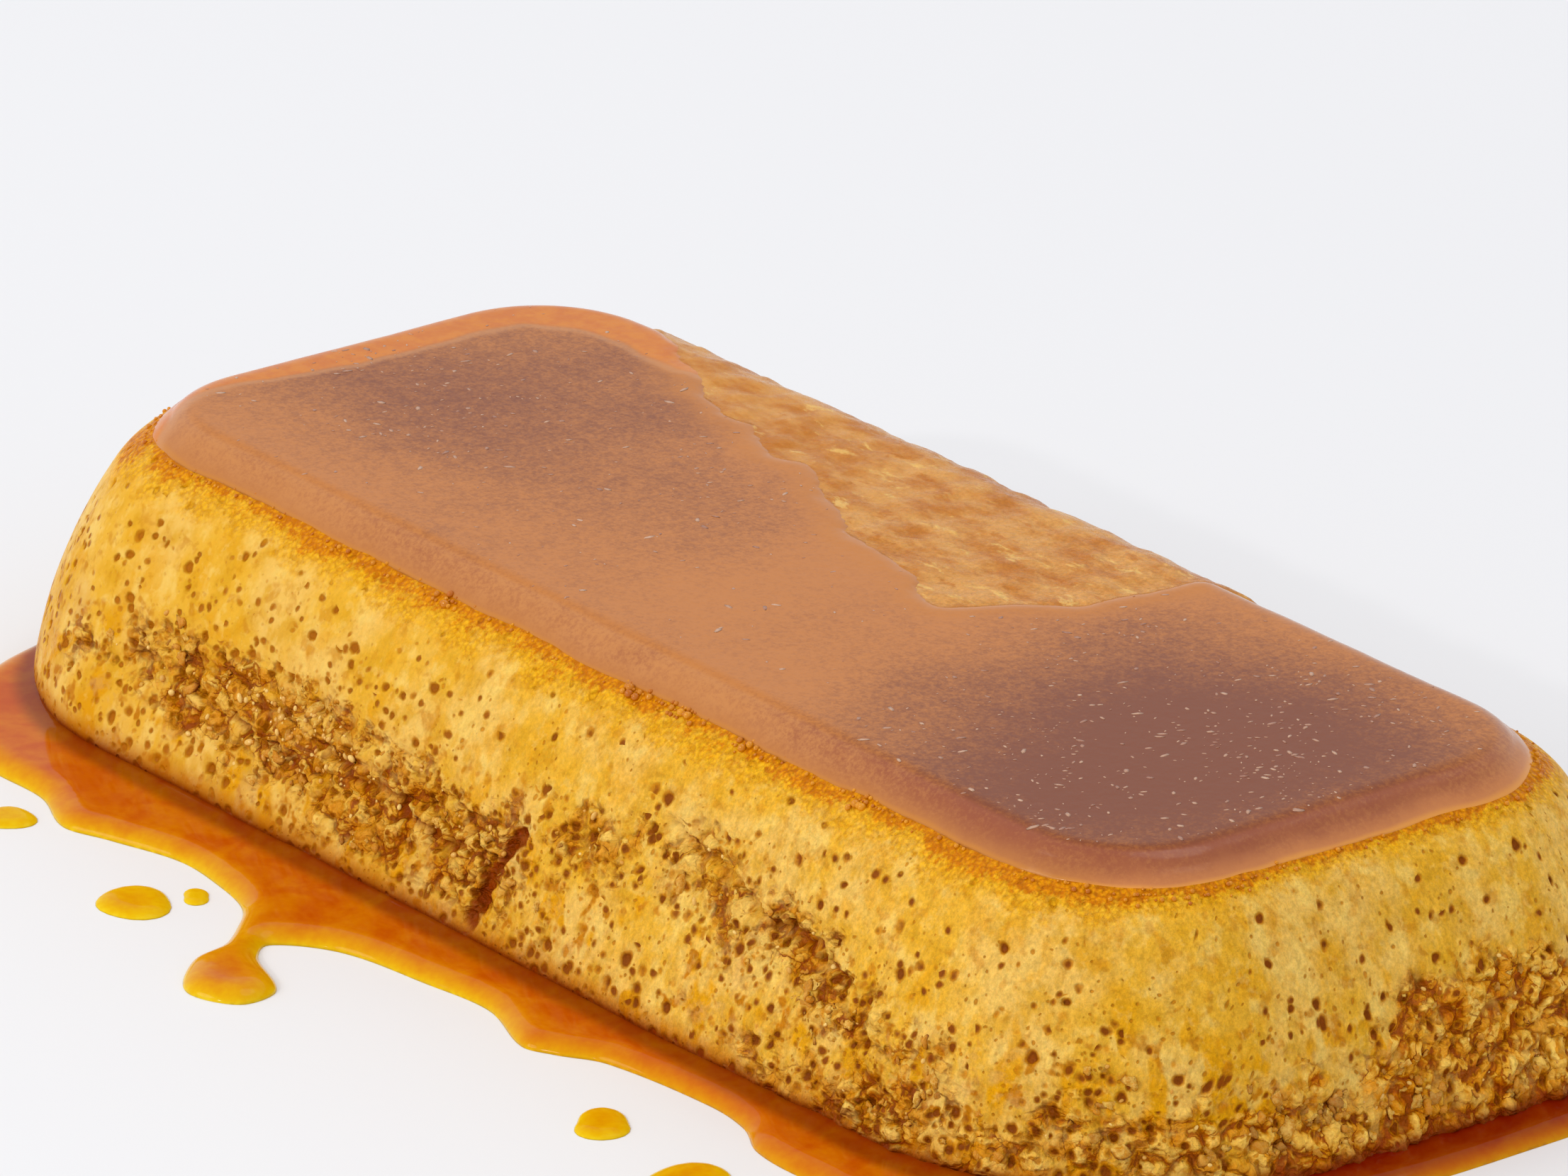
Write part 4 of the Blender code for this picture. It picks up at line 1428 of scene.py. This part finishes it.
def film_material():
    material, graph, shader = new_material("caramel glaze")
    place = graph.attribute("rest", "Vector")
    graph.feed(shader.inputs["Base Color"], film_colour(graph, place))
    dull = graph.noise(place, 1.2, detail=4.0, roughness=0.65)
    graph.feed(shader.inputs["Roughness"], graph.ramp(dull, 0.3, 0.8, 0.14, 0.27))
    graph.bump(shader, dull, 0.12, 0.2)
    shader.inputs["IOR"].default_value = 1.4
    shader.inputs["Specular IOR Level"].default_value = 0.3
    return material


# How much of red, green and blue a millimetre of sauce takes from light that crosses it twice.
SAUCE_ABSORPTION = (0.28, 1.2, 10.0)
SURFACE_WHITE = 0.9
THIN_DEPTH = 0.42


def sauce_material(name, depth_scale, ior, edge_depth=0.0):
    material, graph, shader = new_material(name)
    place = graph.node("ShaderNodeNewGeometry").outputs["Position"]
    height = graph.split(place)[2]
    swirl = graph.noise(place, 5.0, detail=4.0, distortion=0.8)
    fleck = graph.noise(place, 0.8, detail=3.0, roughness=0.6)
    wall = graph.attribute("wall")
    body = graph.attribute("body")
    clear = graph.ramp(body, 0.0, 1.0, 0.8, 1.0)
    shore = graph.attribute("shore")
    depth = graph.times(
        height,
        graph.ramp(swirl, 0.3, 0.7, 820.0, 1220.0),
        clear,
        graph.ramp(body, 1.0, 2.0, 1.0, 1.6),
        graph.ramp(shore, 1.2, 3.4, 0.66, 1.0),
    )
    depth = graph.plus(depth, graph.ramp(fleck, 0.3, 0.7, THIN_DEPTH - 0.07, THIN_DEPTH + 0.07))
    brink = graph.times(graph.ramp(shore, 3.8, 1.4), graph.ramp(body, 0.3, 1.0))
    onward = graph.ramp(graph.split(place)[0], 5 * MM, 40 * MM, 0.15 * edge_depth, edge_depth)
    depth = graph.plus(depth, graph.times(brink, onward))
    # Painted shade and painted reflection of the loaf's dark foot: the sauce darkens close to the loaf's
    # wall.
    shade = graph.ramp(wall, 3.4, 1.5, SURFACE_WHITE, 0.5)
    node = graph.node("ShaderNodeCombineXYZ")
    for socket, absorbed in zip(node.inputs, SAUCE_ABSORPTION):
        left = graph.math("EXPONENT", graph.times(depth, -absorbed * depth_scale))
        graph.feed(socket, graph.times(left, shade))
    graph.feed(shader.inputs["Base Color"], node.outputs[0])
    shader.inputs["Roughness"].default_value = 0.07
    shader.inputs["IOR"].default_value = ior
    shader.inputs["Specular IOR Level"].default_value = 0.13
    return material


def crumb_material():
    material, graph, shader = new_material("custard crumb")
    place = graph.attribute("rest", "Vector")
    tint = graph.attribute("tint")
    top = graph.attribute("top")
    grain = graph.noise(place, 0.6, detail=4.0, roughness=0.7)
    colour = graph.mix(graph.ramp(grain, 0.35, 0.65), srgb(208, 138, 16), srgb(240, 190, 88))
    colour = graph.mix(graph.ramp(tint, 0.5, 0.65, 0.0, 0.75), colour, srgb(208, 130, 4))
    colour = graph.mix(graph.ramp(tint, 0.3, 0.05, 0.0, 0.7), colour, srgb(168, 98, 12))
    # Painted shade on each crumb's underside, where it sits on the custard.
    colour = graph.mix(graph.ramp(top, 0.5, -0.2), colour, srgb(122, 56, 2))
    graph.feed(shader.inputs["Base Color"], colour)
    graph.feed(shader.inputs["Roughness"], graph.ramp(grain, 0.3, 0.7, 0.15, 0.4))
    graph.bump(shader, grain, 0.8, 0.4)
    shader.inputs["IOR"].default_value = 1.4
    shader.inputs["Specular IOR Level"].default_value = 0.35
    let_light_in(shader, 0.15, 1.0)
    return material


def tinted_material(name, dark, light, roughness, ior):
    """A small thing of one material, each between two colours."""
    material, graph, shader = new_material(name)
    graph.feed(shader.inputs["Base Color"], graph.mix(graph.attribute("tint"), dark, light))
    shader.inputs["Roughness"].default_value = roughness
    shader.inputs["IOR"].default_value = ior
    return material


def surface_material():
    material, graph, shader = new_material("pale surface")
    place = graph.node("ShaderNodeNewGeometry").outputs["Position"]
    haze = graph.noise(place, 400.0, detail=2.0)
    colour = graph.mix(haze, (0.80, 0.80, 0.815, 1), (0.84, 0.84, 0.85, 1))
    graph.feed(shader.inputs["Base Color"], colour)
    shader.inputs["Roughness"].default_value = 0.6
    return material


# ---------------------------------------------------------------- the stage
def make_floor():
    mesh = bpy.data.meshes.new("floor")
    bm = bmesh.new()
    bmesh.ops.create_grid(bm, x_segments=2, y_segments=2, size=6.0)
    bmesh.ops.translate(bm, verts=bm.verts, vec=(0.0, 0.0, -0.02 * MM))
    bm.to_mesh(mesh)
    bm.free()
    floor = bpy.data.objects.new("floor", mesh)
    bpy.context.scene.collection.objects.link(floor)
    mesh.materials.append(surface_material())


def area_light(name, place, size, power, colour=(1.0, 1.0, 1.0)):
    light = bpy.data.lights.new(name, "AREA")
    light.shape = "DISK"
    light.size = size
    light.energy = power
    light.color = colour
    obj = bpy.data.objects.new(name, light)
    obj.location = place
    obj.rotation_euler = Vector(place).to_track_quat("Z", "Y").to_euler()
    bpy.context.scene.collection.objects.link(obj)


def make_lights():
    world = bpy.data.worlds.new("studio")
    bpy.context.scene.world = world
    world.use_nodes = True
    background = world.node_tree.nodes["Background"]
    background.inputs["Color"].default_value = (0.96, 0.97, 1.0, 1.0)
    background.inputs["Strength"].default_value = 0.80
    area_light("window", (-0.5, -1.2, 0.9), 0.7, 6.4, (1.0, 0.98, 0.94))
    area_light("spark", (0.1, -1.3, 0.7), 0.05, 2.6, (1.0, 0.99, 0.97))
    area_light("overhead", (0.1, 0.5, 1.5), 0.9, 4.0)


def make_camera():
    back = Vector((
        math.sin(CAMERA_AZIMUTH) * math.cos(CAMERA_ELEVATION),
        -math.cos(CAMERA_AZIMUTH) * math.cos(CAMERA_ELEVATION),
        math.sin(CAMERA_ELEVATION),
    ))
    right = back.cross(Vector((0, 0, 1))).normalized() * -1
    up = back.cross(right)
    turn = Matrix.Rotation(CAMERA_ROLL, 3, back)
    axes = Matrix((turn @ right, turn @ up, back)).transposed()
    data = bpy.data.cameras.new("camera")
    data.lens = CAMERA_LENS
    data.sensor_width = SENSOR_WIDTH
    data.clip_end = 100.0
    camera = bpy.data.objects.new("camera", data)
    camera.matrix_world = Matrix.Translation(
        (Vector(CAMERA_TARGET) + back * CAMERA_DISTANCE) * MM
    ) @ axes.to_4x4()
    bpy.context.scene.collection.objects.link(camera)
    bpy.context.scene.camera = camera


def finish_piece(obj, material, slot, *nodes):
    obj.data.materials.clear()
    obj.data.materials.append(material)
    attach(obj, "root")
    if nodes:
        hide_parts(*nodes)


def main():
    bpy.context.scene.view_settings.view_transform = "Standard"
    custard = make_custard()
    apply_relief(custard)
    finish_piece(custard, custard_material(), "custard", "custard")
    film = make_film()
    finish_piece(film, film_material(), "caramel", "caramel_film")
    finish_piece(make_crumbs(custard), crumb_material(), "custard")
    fleck = tinted_material("pale fleck", srgb(162, 108, 84), srgb(204, 162, 132), 0.35, 1.5)
    finish_piece(make_specks(film), fleck, "caramel")
    bead = tinted_material("syrup bead", srgb(206, 136, 20), srgb(240, 200, 110), 0.06, 1.45)
    finish_piece(make_beads(custard), bead, "caramel")
    bubble = tinted_material("caramel bubble", srgb(184, 98, 4), srgb(222, 146, 14), 0.08, 1.4)
    finish_piece(make_bubbles(custard), bubble, "caramel")
    sauce = sauce_material("caramel sauce", 1.0, 1.4, 0.45)
    finish_piece(make_sauce(), sauce, "sauce", "sauce_pool")
    drop = sauce_material("caramel drop", 0.97, 1.2)
    for node in DROP_NODES:
        finish_piece(make_drop(node), drop, "sauce", node)
    make_floor()
    make_lights()
    make_camera()


main()
